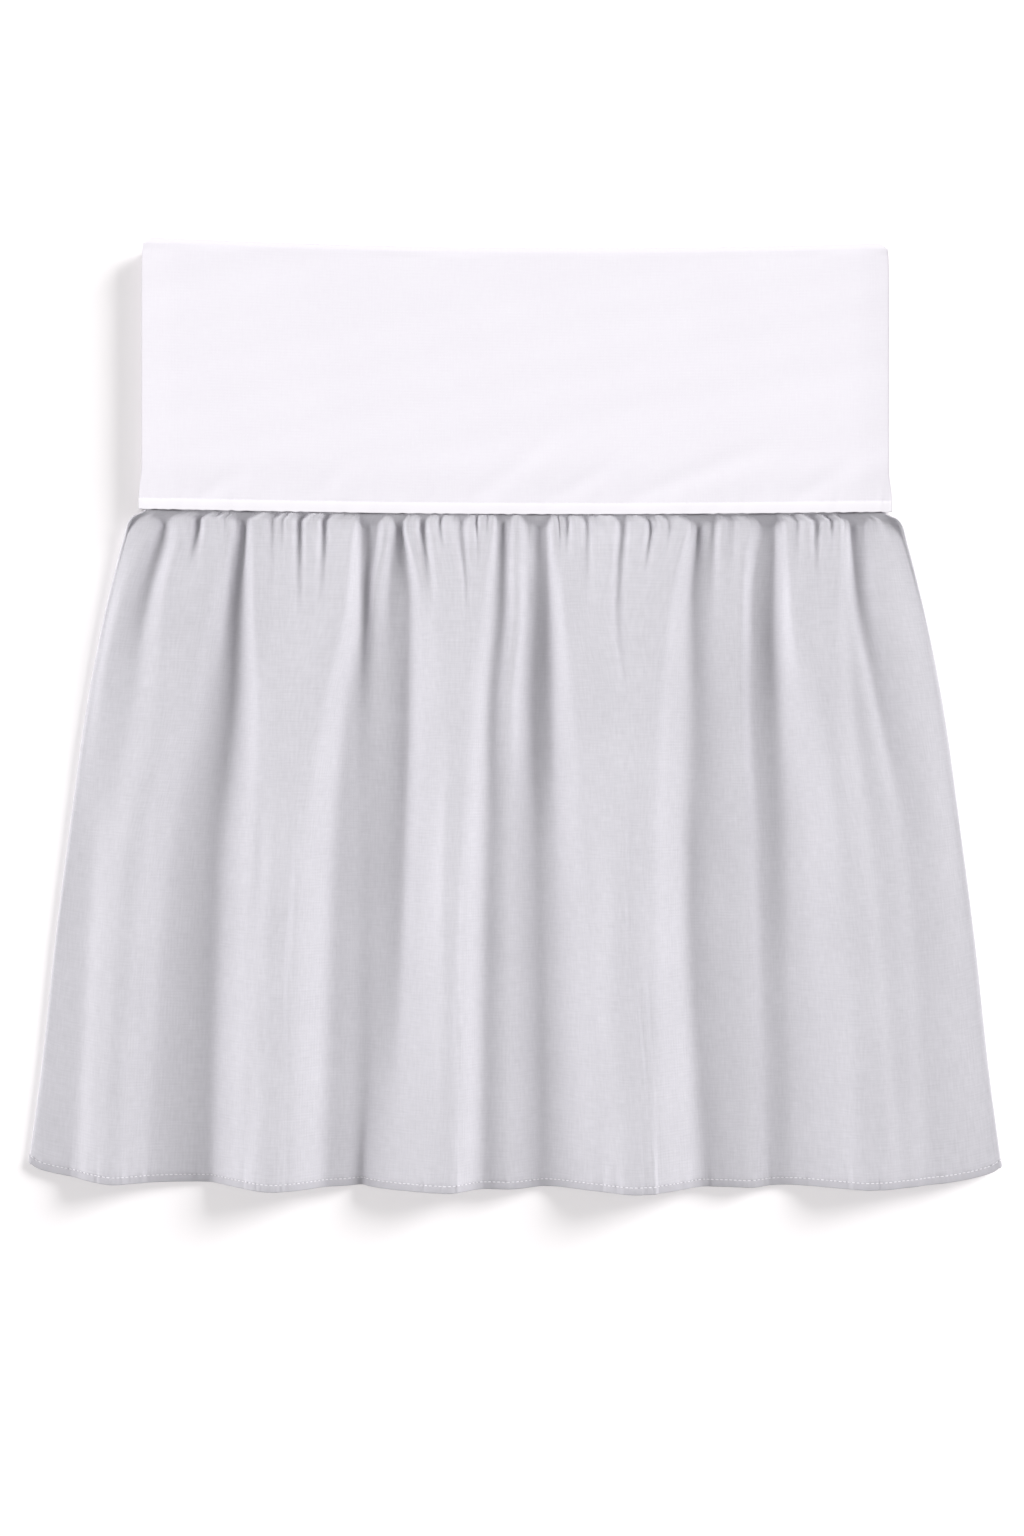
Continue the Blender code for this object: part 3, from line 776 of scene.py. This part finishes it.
@dataclass(frozen=True)
class FinePleats:
    """Pleats too small for the table of gathers, at uneven distances; most of them are short."""

    reach: float = 222.0
    apart: tuple[float, float] = (2.6, 7.2)
    few_long: float = 2.5  # the higher, the fewer are long
    deep: tuple[float, float] = (0.5, 1.1)
    deeper: float = 1.1  # what the longest are deeper by
    wide: tuple[float, float] = (1.1, 1.8)
    runs: float = 6.0
    longer: float = 44.0
    drift: float = 0.07
    seed: int = 23

    def table(self) -> Table:
        """Draws the pleats.

        Returns:
            Each with x, deep, wide, runs and how far it drifts aside on its way down.
        """
        draws, at, rows = np.random.default_rng(self.seed), -self.reach, []
        while at < self.reach:
            at += draws.uniform(*self.apart)
            long = draws.random() ** self.few_long
            deep = draws.uniform(*self.deep) + self.deeper * long
            wide = draws.uniform(*self.wide)
            drift = draws.uniform(-self.drift, self.drift)
            rows.append(dict(x=at, deep=deep, wide=wide, runs=self.runs + self.longer * long, drift=drift))
        return rows


@dataclass(frozen=True)
class Columns:
    """The ruffle's columns from side to side, as a list for each thing known of them: the fold line,
    the share of the way to the next one, the angle round a rim, the share of the turned-under side,
    and the side, which is -1, 0 for the front, or 1."""

    line: Array
    share: Array
    angle: Array
    back: Array
    side: Array

    @property
    def front(self) -> Array:
        """True between the rims."""
        return self.side == 0

    @property
    def under(self) -> Array:
        """True on the turned-under sides."""
        return self.back > 0

    def read(self, lines: Array) -> Array:
        """Something known of the fold lines, such as their x, at each column."""
        following = np.minimum(self.line + 1, len(lines) - 1)
        return mix(lines[self.line], lines[following], self.share)


@dataclass(frozen=True)
class Ruffle:
    """The grey cloth: its drawn-up head, its folds, and its hem."""

    stack: Stack
    finish: Finish
    thread: Finish
    pleats: FinePleats = FinePleats()
    cloth: float = 0.8
    hem_cloth: float = 1.3  # thickness of the turned hem
    drop: float = 404.0  # from the seam to the hem's edge
    hem: float = 4.4
    stitch: float = 2.8
    stitch_thick: float = 0.6
    stitch_off: float = 0.35  # how far the stitches stand off the cloth
    head: float = 6.0  # part of the cloth under the band
    head_half: float = 221.0
    tuck: float = 1.35  # from the middle of the deck's front layer down to the head's
    rim: float = 1.4  # half the width of a rim's round
    rounds: tuple[float, float] = (0.0, 20.0)  # a rim takes on that round between these distances down
    settle: tuple[float, float] = (-1.0, 14.0)  # between these the sides drop to the surface
    lying: float = 0.1  # gap between them and the surface
    side_gap: float = 1.0  # from a turned-under side up to the valleys of the front
    landing: float = 0.5  # how softly the valleys end there, in square millimetres
    spread: tuple[float, float] = (0.0, 5.0)  # between these the cloth spreads sideways from its head
    falls: tuple[float, float] = (-3.5, 1.0)  # between these the valleys fall from the head's level
    swells: tuple[float, float] = (0.0, 17.0)  # and the folds rise from it
    springs: tuple[float, float] = (0.1, 1.1)  # between these the cloth springs up by spring
    spring: float = 1.5
    soft: tuple[float, float] = (0.4, 2.4)  # folds are rounded over so much near the band and below
    softens: tuple[float, float] = (20.0, 110.0)
    pinch: float = 0.6  # below 1 makes flanks steeper near the band, dying out down to pinched
    pinched: float = 26.0
    gathered_deep: float = 1.15  # gathers are this many times as deep as in the table
    uneven_from: tuple[float, float] = (15.0, 80.0)
    hem_swing: float = 0.1  # how much lower the hem hangs for each millimetre of a fold's height
    mean_fold: float = 10.5  # height of a fold that hangs level
    swings_from: float = 150.0
    groove: float = 0.3
    groove_wide: float = 0.8
    column_gaps: tuple[float, float] = (0.9, 1.7)  # under the band and at the hem
    least_steps: int = 4
    rim_steps: int = 10
    under_steps: int = 8
    flat: tuple[float, float] = (1.066, 0.416)  # in metres

    def rows(self) -> Array:
        """Lays out the rows.

        Returns:
            Distances below the seam at which the cloth has a row.
        """
        seam = self.drop - self.hem
        hem = [seam + off for off in HEM_ROWS] + [self.drop - 0.6, self.drop]
        steps = [np.arange(4.2, 13, 1.4), np.arange(14, 39, 2.6)]
        steps += [np.arange(40, 90, 4.5), np.arange(90, 388, 8.5)]
        return np.concatenate(([-self.head], HEAD_ROWS, *steps, hem))

    def fold_lines(self, down: float) -> tuple[Array, Array]:
        """The fold lines at a distance below the seam.

        Args:
            down: the distance.

        Returns:
            x and z of every line, with the tops of both rims as first and last.
        """
        reach = float(through(EDGE_DOWN, EDGE_HALF, down)) - self.rim
        rim_z = float(through(STATIONS, RIM_TOP_Z, down))
        xs = [-reach] + [float(through(STATIONS, fold["x"], down)) for fold in FOLDS] + [reach]
        zs = [rim_z] + [float(through(STATIONS, fold["z"], down)) for fold in FOLDS] + [rim_z]
        return np.array(xs), np.array(zs)

    def columns(self) -> Columns:
        """Lays out the columns, close enough together both under the band and at the hem.

        Returns:
            The columns.
        """
        head, hem = self.fold_lines(STATIONS[0])[0], self.fold_lines(STATIONS[-1])[0]
        at_head, at_hem = self.column_gaps
        lines, shares = [], []
        for k in range(len(FOLDS) + 1):
            steps = max((head[k + 1] - head[k]) / at_head, (hem[k + 1] - hem[k]) / at_hem, self.least_steps)
            lines += [k] * round(steps)
            shares += list(np.arange(round(steps)) / round(steps))
        lines, shares = lines + [len(FOLDS)], shares + [1.0]
        level, rim, under = np.zeros(len(lines)), np.zeros(self.rim_steps), np.zeros(self.under_steps)
        angle = np.concatenate((under, math.pi * (1 - np.arange(self.rim_steps) / self.rim_steps)))
        back = np.concatenate((1 - np.arange(self.under_steps) / self.under_steps, rim))
        ends = np.zeros(len(angle))
        return Columns(
            line=np.concatenate((ends, lines, ends)).astype(int),
            share=np.concatenate((ends, shares, ends)),
            angle=np.concatenate((angle, level, angle[::-1])),
            back=np.concatenate((back, level, back[::-1])),
            side=np.concatenate((ends - 1, level, ends + 1)),
        )

    def head_z(self, x: Array | float) -> Array:
        """Middle of the head, which is tucked under the band and touches it all along."""
        return self.stack.z(x, self.stack.seam_y(x), self.stack.height) - self.tuck

    def gathered(self, thread: Array, down: float) -> Array:
        """How deep the gathers are at each thread, named by where it lies under the band.

        Args:
            thread: places of the threads under the band.
            down: distance below the seam.

        Returns:
            The depth at each thread.
        """
        depth = np.zeros_like(thread)
        for gather in GATHERS:
            share = min(down / gather["runs"], 1)
            fade, wide = (1 - share) ** 1.1, gather["wide"] * (0.8 + 0.9 * share)
            depth += self.gathered_deep * gather["deep"] * hump(thread, gather["x"], wide) * fade
        for pleat in self.pleats.table():
            fade = 1 - float(eased(0, pleat["runs"], down))
            wide = pleat["wide"] * (1 + 1.6 * down / pleat["runs"])
            depth += pleat["deep"] * hump(thread, pleat["x"] + pleat["drift"] * down, wide) * fade
        return depth

    def uneven(self, thread: Array, down: float) -> Array:
        """The soft unevenness of the folds.

        Args:
            thread: places of the threads under the band.
            down: distance below the seam.

        Returns:
            The height at each thread.
        """
        waves = sum(
            wave["high"] * ripple(thread + wave["slant"] * down, wave["pitch"], wave["seed"])
            * math.sin(down / wave["swells"] + wave["start"])
            for wave in SOFT_WAVES
        )  # fmt: skip
        return waves * float(eased(*self.uneven_from, down))

    def folded(self, xs: Array, zs: Array, x: Array, below: float) -> Array:
        """Height of the folds, whose flanks are steeper just below the band, where they are pinched.

        Args:
            xs: where the fold lines run.
            zs: how high they stand.
            x: the places asked for.
            below: distance below the seam.

        Returns:
            The height at each place.
        """
        line = np.clip(np.searchsorted(xs, x, side="right") - 1, 0, len(xs) - 2)
        low, high = np.minimum(zs[line], zs[line + 1]), np.maximum(zs[line], zs[line + 1])
        full = np.clip((through(xs, zs, x) - low) / np.maximum(high - low, 0.01), 0, 1)
        power = float(mix(self.pinch, 1, eased(0, self.pinched, below)))
        return low + full**power * (high - low)

    def front_z(self, columns: Columns, thread: Array, down: float, lowest: float) -> Array:
        """Height of the front in a row.

        Args:
            columns: the columns.
            thread: where each column's thread lies under the band.
            down: distance below the seam.
            lowest: how low the valleys may come.

        Returns:
            The height at each column, of use for those of the front.
        """
        below = max(down, 0.0)
        falls, swells, springs = (float(eased(*at, down)) for at in (self.falls, self.swells, self.springs))
        xs, zs = self.fold_lines(below)
        x = columns.read(xs)
        soft = float(mix(*self.soft, eased(*self.softens, down)))
        near = [self.folded(xs, zs, x + off, below) for off in (-soft, 0.0, soft)]
        z = near[0] / 4 + near[1] / 2 + near[2] / 4 + self.uneven(thread, below)
        level = self.head_z(x * (self.reach(down) - self.round_x(down)) / xs[-1]) + self.spring * springs
        z = level + (z - level) * np.where(z > level, swells, falls)
        z = z - self.gathered(thread, below) * springs
        if down > 0:
            z = (z + lowest + np.sqrt((z - lowest) ** 2 + self.landing)) / 2
        return z

    def reach(self, down: float) -> float:
        """Half the width of the cloth at a distance below the seam."""
        half = through(EDGE_DOWN, EDGE_HALF, max(down, 0.0))
        return float(mix(self.head_half, half, eased(*self.spread, down)))

    def round_x(self, down: float) -> float:
        """Half the width of a rim's round at a distance below the seam."""
        return float(mix(self.stack.layer / 2, self.rim, eased(*self.rounds, down)))

    def row(self, columns: Columns, thread: Array, down: float) -> Array:
        """Works out a row of the cloth.

        Args:
            columns: the columns.
            thread: where each column's thread lies under the band.
            down: distance below the seam.

        Returns:
            Its places.
        """
        stack, below, angle, side = self.stack, max(down, 0.0), columns.angle, columns.side
        reach, round_x = self.reach(down), self.round_x(down)
        flat = reach - round_x
        xs, zs = self.fold_lines(below)
        rim_head = float(self.head_z(self.head_half - 1))
        top_z = float(mix(rim_head, zs[0], eased(*self.swells, down)))
        lying = stack.cloth / 2 + self.lying
        under_z = float(mix(rim_head - stack.layer, lying, eased(*self.settle, down)))
        rim_x = side * (flat + round_x * np.sin(angle))
        rim_z = (top_z + under_z) / 2 + (top_z - under_z) / 2 * np.cos(angle)
        x = np.where(columns.under, side * (flat - stack.returned * columns.back), rim_x)
        x = np.where(columns.front, columns.read(xs) * flat / xs[-1], x)
        front_z = self.front_z(columns, thread, down, under_z + stack.cloth + self.side_gap)
        z = np.where(columns.front, front_z, np.where(columns.under, under_z, rim_z))
        seen = columns.front | (angle < math.pi / 2) & ~columns.under
        inside = np.where(seen, reach - np.abs(x), 0.0)
        lift = sum(corner["rise"] * np.exp(-inside / corner["fades"]) for corner in CORNERS)
        swing = np.where(columns.front, self.hem_swing * (z - self.mean_fold), 0.0)
        swing = swing * float(eased(self.swings_from, self.drop, down))
        y = stack.seam_y(x) - down - swing + lift * below / self.drop
        z = z + self.hem_relief(x, down) * np.where(columns.under, 0, 0.5 + 0.5 * np.cos(angle))
        return np.stack([x, y, z], axis=1)

    def grid(self) -> Grid:
        """Works out the whole cloth on the folds of its solid.

        Returns:
            The cloth's grid.
        """
        columns, rows = self.columns(), self.rows()
        head = self.fold_lines(0.0)[0]
        thread = np.where(columns.front, columns.read(head), columns.side * head[-1])
        points = np.array([self.row(columns, thread, down) for down in rows])
        thick = np.full(points.shape[:2], self.cloth)
        thick[rows > self.drop - self.hem] = self.hem_cloth
        measured = int(np.argmin(np.abs(rows - STATIONS[-2])))
        over = lengths(points[measured]) - self.stack.returned
        across, along = np.meshgrid(over, rows)
        return Grid(self.stack.placed(points), across, along, thick, np.ones(thick.shape, bool))

    def hem_relief(self, x: Array, down: float) -> Array:
        """The groove of the hem's stitches and the puckers that they draw up.

        Args:
            x: places across the row.
            down: distance below the seam.

        Returns:
            The height at each place.
        """
        seam = self.drop - self.hem
        groove = -self.groove * float(hump(down, seam, self.groove_wide))
        return groove + puckers(HEM_PUCKERS, x, down, seam)

    def build(self) -> list[bpy.types.Object]:
        """Makes the ruffle and the stitches of its hem.

        Returns:
            The ruffle and its stitching.
        """
        grid = self.grid()
        ruffle = grid.build("ruffle_cloth", self.finish)
        at = int(np.argmin(np.abs(self.rows() - (self.drop - self.hem))))
        off = self.cloth / 2 + self.stitch_off
        seam = Stitching("hem_stitching", self.thread, self.stitch, self.stitch_thick, off)
        return [ruffle, seam.build(grid.points[at], grid.points[at - 1])]


# --- finishes ---------------------------------------------------------------------------------------


def linear(colour: str) -> tuple[float, float, float, float]:
    """Turns an sRGB hex colour into the linear colour that a shader takes.

    Args:
        colour: six hex digits.

    Returns:
        Linear red, green and blue, with an alpha of 1.
    """
    values = [int(colour[k : k + 2], 16) / 255 for k in (0, 2, 4)]
    red, green, blue = (v / 12.92 if v <= 0.04045 else ((v + 0.055) / 1.055) ** 2.4 for v in values)
    return red, green, blue, 1.0


def add(tree: bpy.types.NodeTree, kind: str, settings: dict | None = None, **inputs) -> bpy.types.Node:
    """Adds a node with its settings and links.

    Args:
        tree: the material's node tree.
        kind: the node's type.
        settings: the node's own settings, by name.
        inputs: values or sockets for its inputs, by name with _ for a space, or by number as in _0.

    Returns:
        The node.
    """
    node = tree.nodes.new(kind)
    for name, value in (settings or {}).items():
        setattr(node, name, value)
    for name, value in inputs.items():
        key = int(name[1:]) if name[0] == "_" else name.replace("_", " ")
        if isinstance(value, bpy.types.NodeSocket):
            tree.links.new(value, node.inputs[key])
        else:
            node.inputs[key].default_value = value
    return node


@dataclass(frozen=True)
class Finish:
    """What a piece is made of."""

    name: str
    colour: str
    roughness: float

    def material(self) -> bpy.types.Material:
        """Makes the material once, and then shares it.

        Returns:
            The finish as a material.
        """
        made = bpy.data.materials.get(self.name)
        if made is None:
            made = bpy.data.materials.new(self.name)
            made.use_nodes = True
            self.dress(made.node_tree, made.node_tree.nodes["Principled BSDF"])
        return made

    def dress(self, tree: bpy.types.NodeTree, shader: bpy.types.Node) -> None:
        """Sets the shader and its patterns: here plain colour, for thread and paper."""
        shader.inputs["Base Color"].default_value = linear(self.colour)
        shader.inputs["Roughness"].default_value = self.roughness


SUM = {"operation": "ADD"}
PRODUCT = {"operation": "MULTIPLY"}
DIFFERENCE = {"operation": "SUBTRACT"}
SCALED_SUM = {"operation": "MULTIPLY_ADD"}
COLOURS = {"data_type": "RGBA"}
WAVE_TURN = 20.0  # a wave texture turns by this many radians a unit


@dataclass(frozen=True)
class WovenCotton(Finish):
    """Plain woven cotton, pressed: even threads with slubs, which take the light as fine streaks
    along and across the cloth, under a soft sheen."""

    slub: str = "FFFFFF"
    slub_strength: float = 0.5
    sheen: float = 0.2
    thread_mm: float = 0.9  # real threads are 0.3 mm apart: drawn three times as coarse, to show
    slub_mm: tuple[float, float] = (0.9, 9.0)  # size of a slub across its thread and along it
    cloud_mm: float = 45.0  # size of faint clouds in the colour
    tones: tuple[float, float] = (0.85, 1.65)  # span of the slubs and clouds added up
    rough_spread: float = 0.06
    weave_depth: float = 0.25
    weave_mm: float = 0.2
    edge: str = "FFFFFF"
    edge_mm: tuple[float, float] = (0.0, 1.0)  # where the turned edge starts and ends, down the cloth
    edge_sway_mm: float = 2.4  # how far its line may stray
    edge_sway_long_mm: float = 11.0
    edge_soft_mm: float = 0.5

    def dress(self, tree: bpy.types.NodeTree, shader: bpy.types.Node) -> None:
        """Draws threads, slubs and the turned edge on the cloth's own coordinates.

        Args:
            tree: the material's node tree.
            shader: its shader.
        """
        cloth = add(tree, "ShaderNodeUVMap", {"uv_map": "cloth"}).outputs["UV"]
        streaks = [self._slubs(tree, cloth, across) for across in (False, True)]
        both = add(tree, "ShaderNodeMath", SUM, _0=streaks[0], _1=streaks[1]).outputs[0]
        size = 1 / (self.cloud_mm * METRES)
        cloud = add(tree, "ShaderNodeTexNoise", Vector=cloth, Scale=size, Detail=2.0).outputs[0]
        tone = add(tree, "ShaderNodeMath", SCALED_SUM, _0=cloud, _1=0.5, _2=both).outputs[0]
        low, high = self.tones
        share = add(tree, "ShaderNodeMapRange", Value=tone, _1=low, _2=high, _3=0.0, _4=self.slub_strength)
        colours = {"_6": linear(self.colour), "_7": linear(self.slub)}
        colour = add(tree, "ShaderNodeMix", COLOURS, _0=share.outputs[0], **colours).outputs[2]
        edge = self._edge(tree, cloth)
        edged = add(tree, "ShaderNodeMix", COLOURS, _0=edge, _6=colour, _7=linear(self.edge)).outputs[2]
        tree.links.new(edged, shader.inputs["Base Color"])
        roughest, smoothest = self.roughness + self.rough_spread, self.roughness - self.rough_spread
        rough = add(tree, "ShaderNodeMapRange", Value=tone, _1=low, _2=high, _3=roughest, _4=smoothest)
        tree.links.new(rough.outputs[0], shader.inputs["Roughness"])
        tree.links.new(self._weave(tree, cloth, both), shader.inputs["Normal"])
        shader.inputs["Sheen Weight"].default_value = self.sheen
        shader.inputs["Sheen Roughness"].default_value = 0.45
        shader.inputs["IOR"].default_value = 1.45
        shader.inputs["Specular IOR Level"].default_value = 0.15

    def _weave(
        self, tree: bpy.types.NodeTree, cloth: bpy.types.NodeSocket, slubs: bpy.types.NodeSocket
    ) -> bpy.types.NodeSocket:
        """Threads over and under each other, with the slubs among them, as a bump.

        Args:
            tree: the material's node tree.
            cloth: places on the cloth.
            slubs: the streaks of both ways added up.

        Returns:
            The bumped normal.
        """
        size = math.pi / (WAVE_TURN * self.thread_mm * METRES)
        waves = [
            add(
                tree, "ShaderNodeTexWave", {"bands_direction": axis},
                Vector=cloth, Distortion=0.4, Scale=size, Detail=1.0,
            ).outputs["Fac"]
            for axis in ("X", "Y")
        ]  # fmt: skip
        weave = add(tree, "ShaderNodeMath", PRODUCT, _0=waves[0], _1=waves[1]).outputs[0]
        height = add(tree, "ShaderNodeMath", SCALED_SUM, _0=slubs, _1=0.8, _2=weave).outputs[0]
        deep = self.weave_mm * METRES
        return add(tree, "ShaderNodeBump", Strength=self.weave_depth, Distance=deep, Height=height).outputs[0]

    def _edge(self, tree: bpy.types.NodeTree, cloth: bpy.types.NodeSocket) -> bpy.types.NodeSocket:
        """The turned edge, along a line that its stitches make uneven.

        Args:
            tree: the material's node tree.
            cloth: places on the cloth.

        Returns:
            1 on the turned edge and 0 beside it.
        """
        sway_mm, soft = self.edge_sway_mm, self.edge_soft_mm * METRES
        down = add(tree, "ShaderNodeSeparateXYZ", Vector=cloth).outputs["Y"]
        along = (1 / (self.edge_sway_long_mm * METRES), 0.0, 0.0)
        place = add(tree, "ShaderNodeMapping", Vector=cloth, Scale=along).outputs[0]
        sway = add(tree, "ShaderNodeTexNoise", Vector=place, Scale=1.0, Detail=3.0).outputs[0]
        at = add(tree, "ShaderNodeMath", SCALED_SUM, _0=sway, _1=sway_mm * METRES, _2=down).outputs[0]
        steps = []
        for edge_mm in self.edge_mm:
            step = (edge_mm + sway_mm / 2) * METRES
            steps.append(add(tree, "ShaderNodeMapRange", Value=at, _1=step - soft, _2=step + soft).outputs[0])
        return add(tree, "ShaderNodeMath", DIFFERENCE, _0=steps[0], _1=steps[1]).outputs[0]

    def _slubs(
        self, tree: bpy.types.NodeTree, cloth: bpy.types.NodeSocket, across: bool
    ) -> bpy.types.NodeSocket:
        """Streaks of thicker and thinner thread.

        Args:
            tree: the material's node tree.
            cloth: places on the cloth.
            across: whether they run across the cloth instead of along it.

        Returns:
            Their strength.
        """
        thin, long = (1 / (size * METRES) for size in self.slub_mm)
        scale = (long, thin, 1.0) if across else (thin, long, 1.0)
        place = add(tree, "ShaderNodeMapping", Vector=cloth, Scale=scale)
        return add(tree, "ShaderNodeTexNoise", Vector=place.outputs[0], Scale=1.0, Detail=3.0).outputs[0]


# Cotton percale, a tight plain weave, pressed: nearly matt. White hides its slubs; the turned edge
# looks brighter, as two layers let less light through.
WHITE_COTTON = WovenCotton(
    name="white_cotton_percale", colour="E7E3EA", roughness=0.8, slub="EBE8EE", slub_strength=0.9,
    sheen=0.06, weave_depth=0.1, edge="EEEBF0", edge_mm=(-2.0, 6.2),
)  # fmt: skip
# The same percale, dyed pale grey: its slubs show as lighter streaks. The turned hem is darker: partly the
# deeper tone of two pressed layers, partly painted shade for the fine shadows of its puckers.
GREY_COTTON = WovenCotton(
    name="grey_cotton_percale", colour="C5C3C9", roughness=0.82, slub="D2D0D6", slub_strength=1.0,
    sheen=0.06, weave_depth=0.13, edge="BDBBC1", edge_mm=(399.2, 410.0),
)  # fmt: skip
# Spun polyester sewing thread: smoother than the cloth, so that a stitch catches the light.
WHITE_THREAD = Finish("white_polyester_thread", "EEECF0", 0.5)


# --- studio -----------------------------------------------------------------------------------------


def light_only(lamp: bpy.types.Object, lit: Sequence[bpy.types.Object]) -> None:
    """Makes a lamp light only some objects.

    Args:
        lamp: the lamp.
        lit: the objects that it lights.
    """
    receivers = bpy.data.collections.new(lamp.name + "_lights")
    for piece in lit:
        receivers.objects.link(piece)
    lamp.light_linking.receiver_collection = receivers


@dataclass(frozen=True)
class Lamp:
    """A distant soft lamp: where it stands, how wide it looks, and how much light it brings to a
    level face, in shares of the light that shows a white face as white."""

    name: str
    azimuth: float
    elevation: float
    wide: float
    light: float

    def hang(self, lit: Sequence[bpy.types.Object]) -> None:
        """Hangs the lamp.

        Args:
            lit: the objects that it lights.
        """
        sun = bpy.data.lights.new(self.name, "SUN")
        sun.angle = math.radians(self.wide)
        sun.energy = self.light * math.pi / math.sin(math.radians(self.elevation))
        lamp = bpy.data.objects.new(self.name, sun)
        bpy.context.scene.collection.objects.link(lamp)
        turn, lift = math.radians(self.azimuth), math.radians(self.elevation)
        towards = Vector((math.cos(turn) * math.cos(lift), math.sin(turn) * math.cos(lift), math.sin(lift)))
        lamp.rotation_euler = towards.to_track_quat("Z", "Y").to_euler()
        light_only(lamp, lit)


@dataclass(frozen=True)
class Softbox:
    """A square soft lamp that hangs level above the cloth, so that the cloth's middle gets more of its
    light than the sides do: how much, in the same shares."""

    name: str
    above: tuple[float, float, float]
    wide: float
    light: float

    def hang(self, lit: Sequence[bpy.types.Object]) -> None:
        """Hangs the lamp.

        Args:
            lit: the objects that it lights.
        """
        area = bpy.data.lights.new(self.name, "AREA")
        area.size = self.wide * METRES
        area.energy = self.light * (math.pi * self.above[2] * METRES) ** 2
        lamp = bpy.data.objects.new(self.name, area)
        bpy.context.scene.collection.objects.link(lamp)
        lamp.location = Vector(self.above) * METRES
        light_only(lamp, lit)


@dataclass(frozen=True)
class Studio:
    """A pale floor, a camera straight above, and soft light. The deck is lit from above, the ruffle
    from low down on both sides, which darkens its valleys, and the floor apart from them, so that the
    shadow is faint and falls lower left."""

    photo_px: tuple[int, int] = (1024, 1536)
    mm_per_px: float = 0.6
    middle_px: float = 514.0
    zero_y_px: float = 715.3
    camera_up: float = 1700.0
    scale_plane: float = 10.0  # height at which a pixel is mm_per_px wide
    floor_half: float = 4000.0
    floor_gap: float = 0.3
    floor_colour: str = "F9F6F7"
    world_light: float = 0.21
    deck_lamps: tuple[Lamp, ...] = (Lamp("deck_lamp", azimuth=110, elevation=68, wide=30, light=0.94),)
    ruffle_lamps: tuple[Lamp | Softbox, ...] = (
        Lamp("left_lamp", azimuth=164, elevation=20, wide=36, light=0.385),
        Lamp("right_lamp", azimuth=16, elevation=20, wide=36, light=0.385),
        Softbox("softbox", above=(-20.0, -60.0, 480.0), wide=220.0, light=0.17),
    )
    floor_lamps: tuple[Lamp, ...] = (
        Lamp("floor_lamp", azimuth=0, elevation=90, wide=20, light=0.55),
        Lamp("shadow_lamp", azimuth=32, elevation=25, wide=26, light=0.40),
    )

    def build(self, deck: Sequence[bpy.types.Object], ruffle: Sequence[bpy.types.Object]) -> None:
        """Makes the floor, the camera and the lights.

        Args:
            deck: the pieces that the lamps for the deck light.
            ruffle: the pieces that the lamps for the ruffle light.
        """
        floor = self._floor()
        self._camera()
        lights = ((self.deck_lamps, deck), (self.ruffle_lamps, ruffle), (self.floor_lamps, [floor]))
        for lamps, lit in lights:
            for lamp in lamps:
                lamp.hang(lit)
        world = bpy.data.worlds.new("studio")
        world.use_nodes = True
        background = world.node_tree.nodes["Background"]
        background.inputs["Color"].default_value = (1.0, 1.0, 1.0, 1.0)
        background.inputs["Strength"].default_value = self.world_light
        bpy.context.scene.world = world
        bpy.context.scene.view_settings.view_transform = "Standard"

    def _floor(self) -> bpy.types.Object:
        """Makes a floor a hair below the cloth.

        Returns:
            The floor.
        """
        shape = bmesh.new()
        bmesh.ops.create_grid(shape, x_segments=1, y_segments=1, size=self.floor_half * METRES)
        bmesh.ops.translate(shape, verts=shape.verts, vec=(0, 0, -self.floor_gap * METRES))
        floor = as_piece(shape, "studio_floor", Finish("floor_paper", self.floor_colour, 0.9))
        return floor

    def _camera(self) -> None:
        """A camera straight above the photograph's middle, as wide as its frame."""
        wide, high = self.photo_px
        x = (wide / 2 - self.middle_px) * self.mm_per_px
        y = (self.zero_y_px - high / 2) * self.mm_per_px
        lens = bpy.data.cameras.new("camera")
        lens.sensor_fit = "VERTICAL"
        lens.sensor_height = 36.0
        lens.lens = lens.sensor_height * (self.camera_up - self.scale_plane) / (high * self.mm_per_px)
        camera = bpy.data.objects.new("camera", lens)
        bpy.context.scene.collection.objects.link(camera)
        camera.location = Vector((x, y, self.camera_up)) * METRES
        bpy.context.scene.camera = camera


# --- the whole skirt --------------------------------------------------------------------------------


def report(piece: bpy.types.Object) -> None:
    """Says what a piece measures."""
    size = [round(1000 * s, 1) for s in piece.dimensions]
    LOG.info("%s: %s faces before its wall, %s mm", piece.name, len(piece.data.polygons), size)


def main() -> None:
    """Builds the studio, the deck and the ruffle."""
    logging.basicConfig(level=logging.INFO, format="%(name)s: %(message)s")
    stack = Stack()
    deck, band_stitches = Deck(stack, WHITE_COTTON, WHITE_THREAD).build()
    ruffle, hem_stitches = Ruffle(stack, GREY_COTTON, WHITE_THREAD).build()
    for piece, slot in (
        (deck, "white_cotton"), (band_stitches, "white_cotton"),
        (ruffle, "grey_cotton"), (hem_stitches, "white_cotton"),
    ):  # fmt: skip
        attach(piece, "root")
        report(piece)
    Studio().build(deck=[deck, band_stitches], ruffle=[ruffle, hem_stitches])
    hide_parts("deck")
    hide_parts("skirt")


if __name__ == "__main__":
    main()
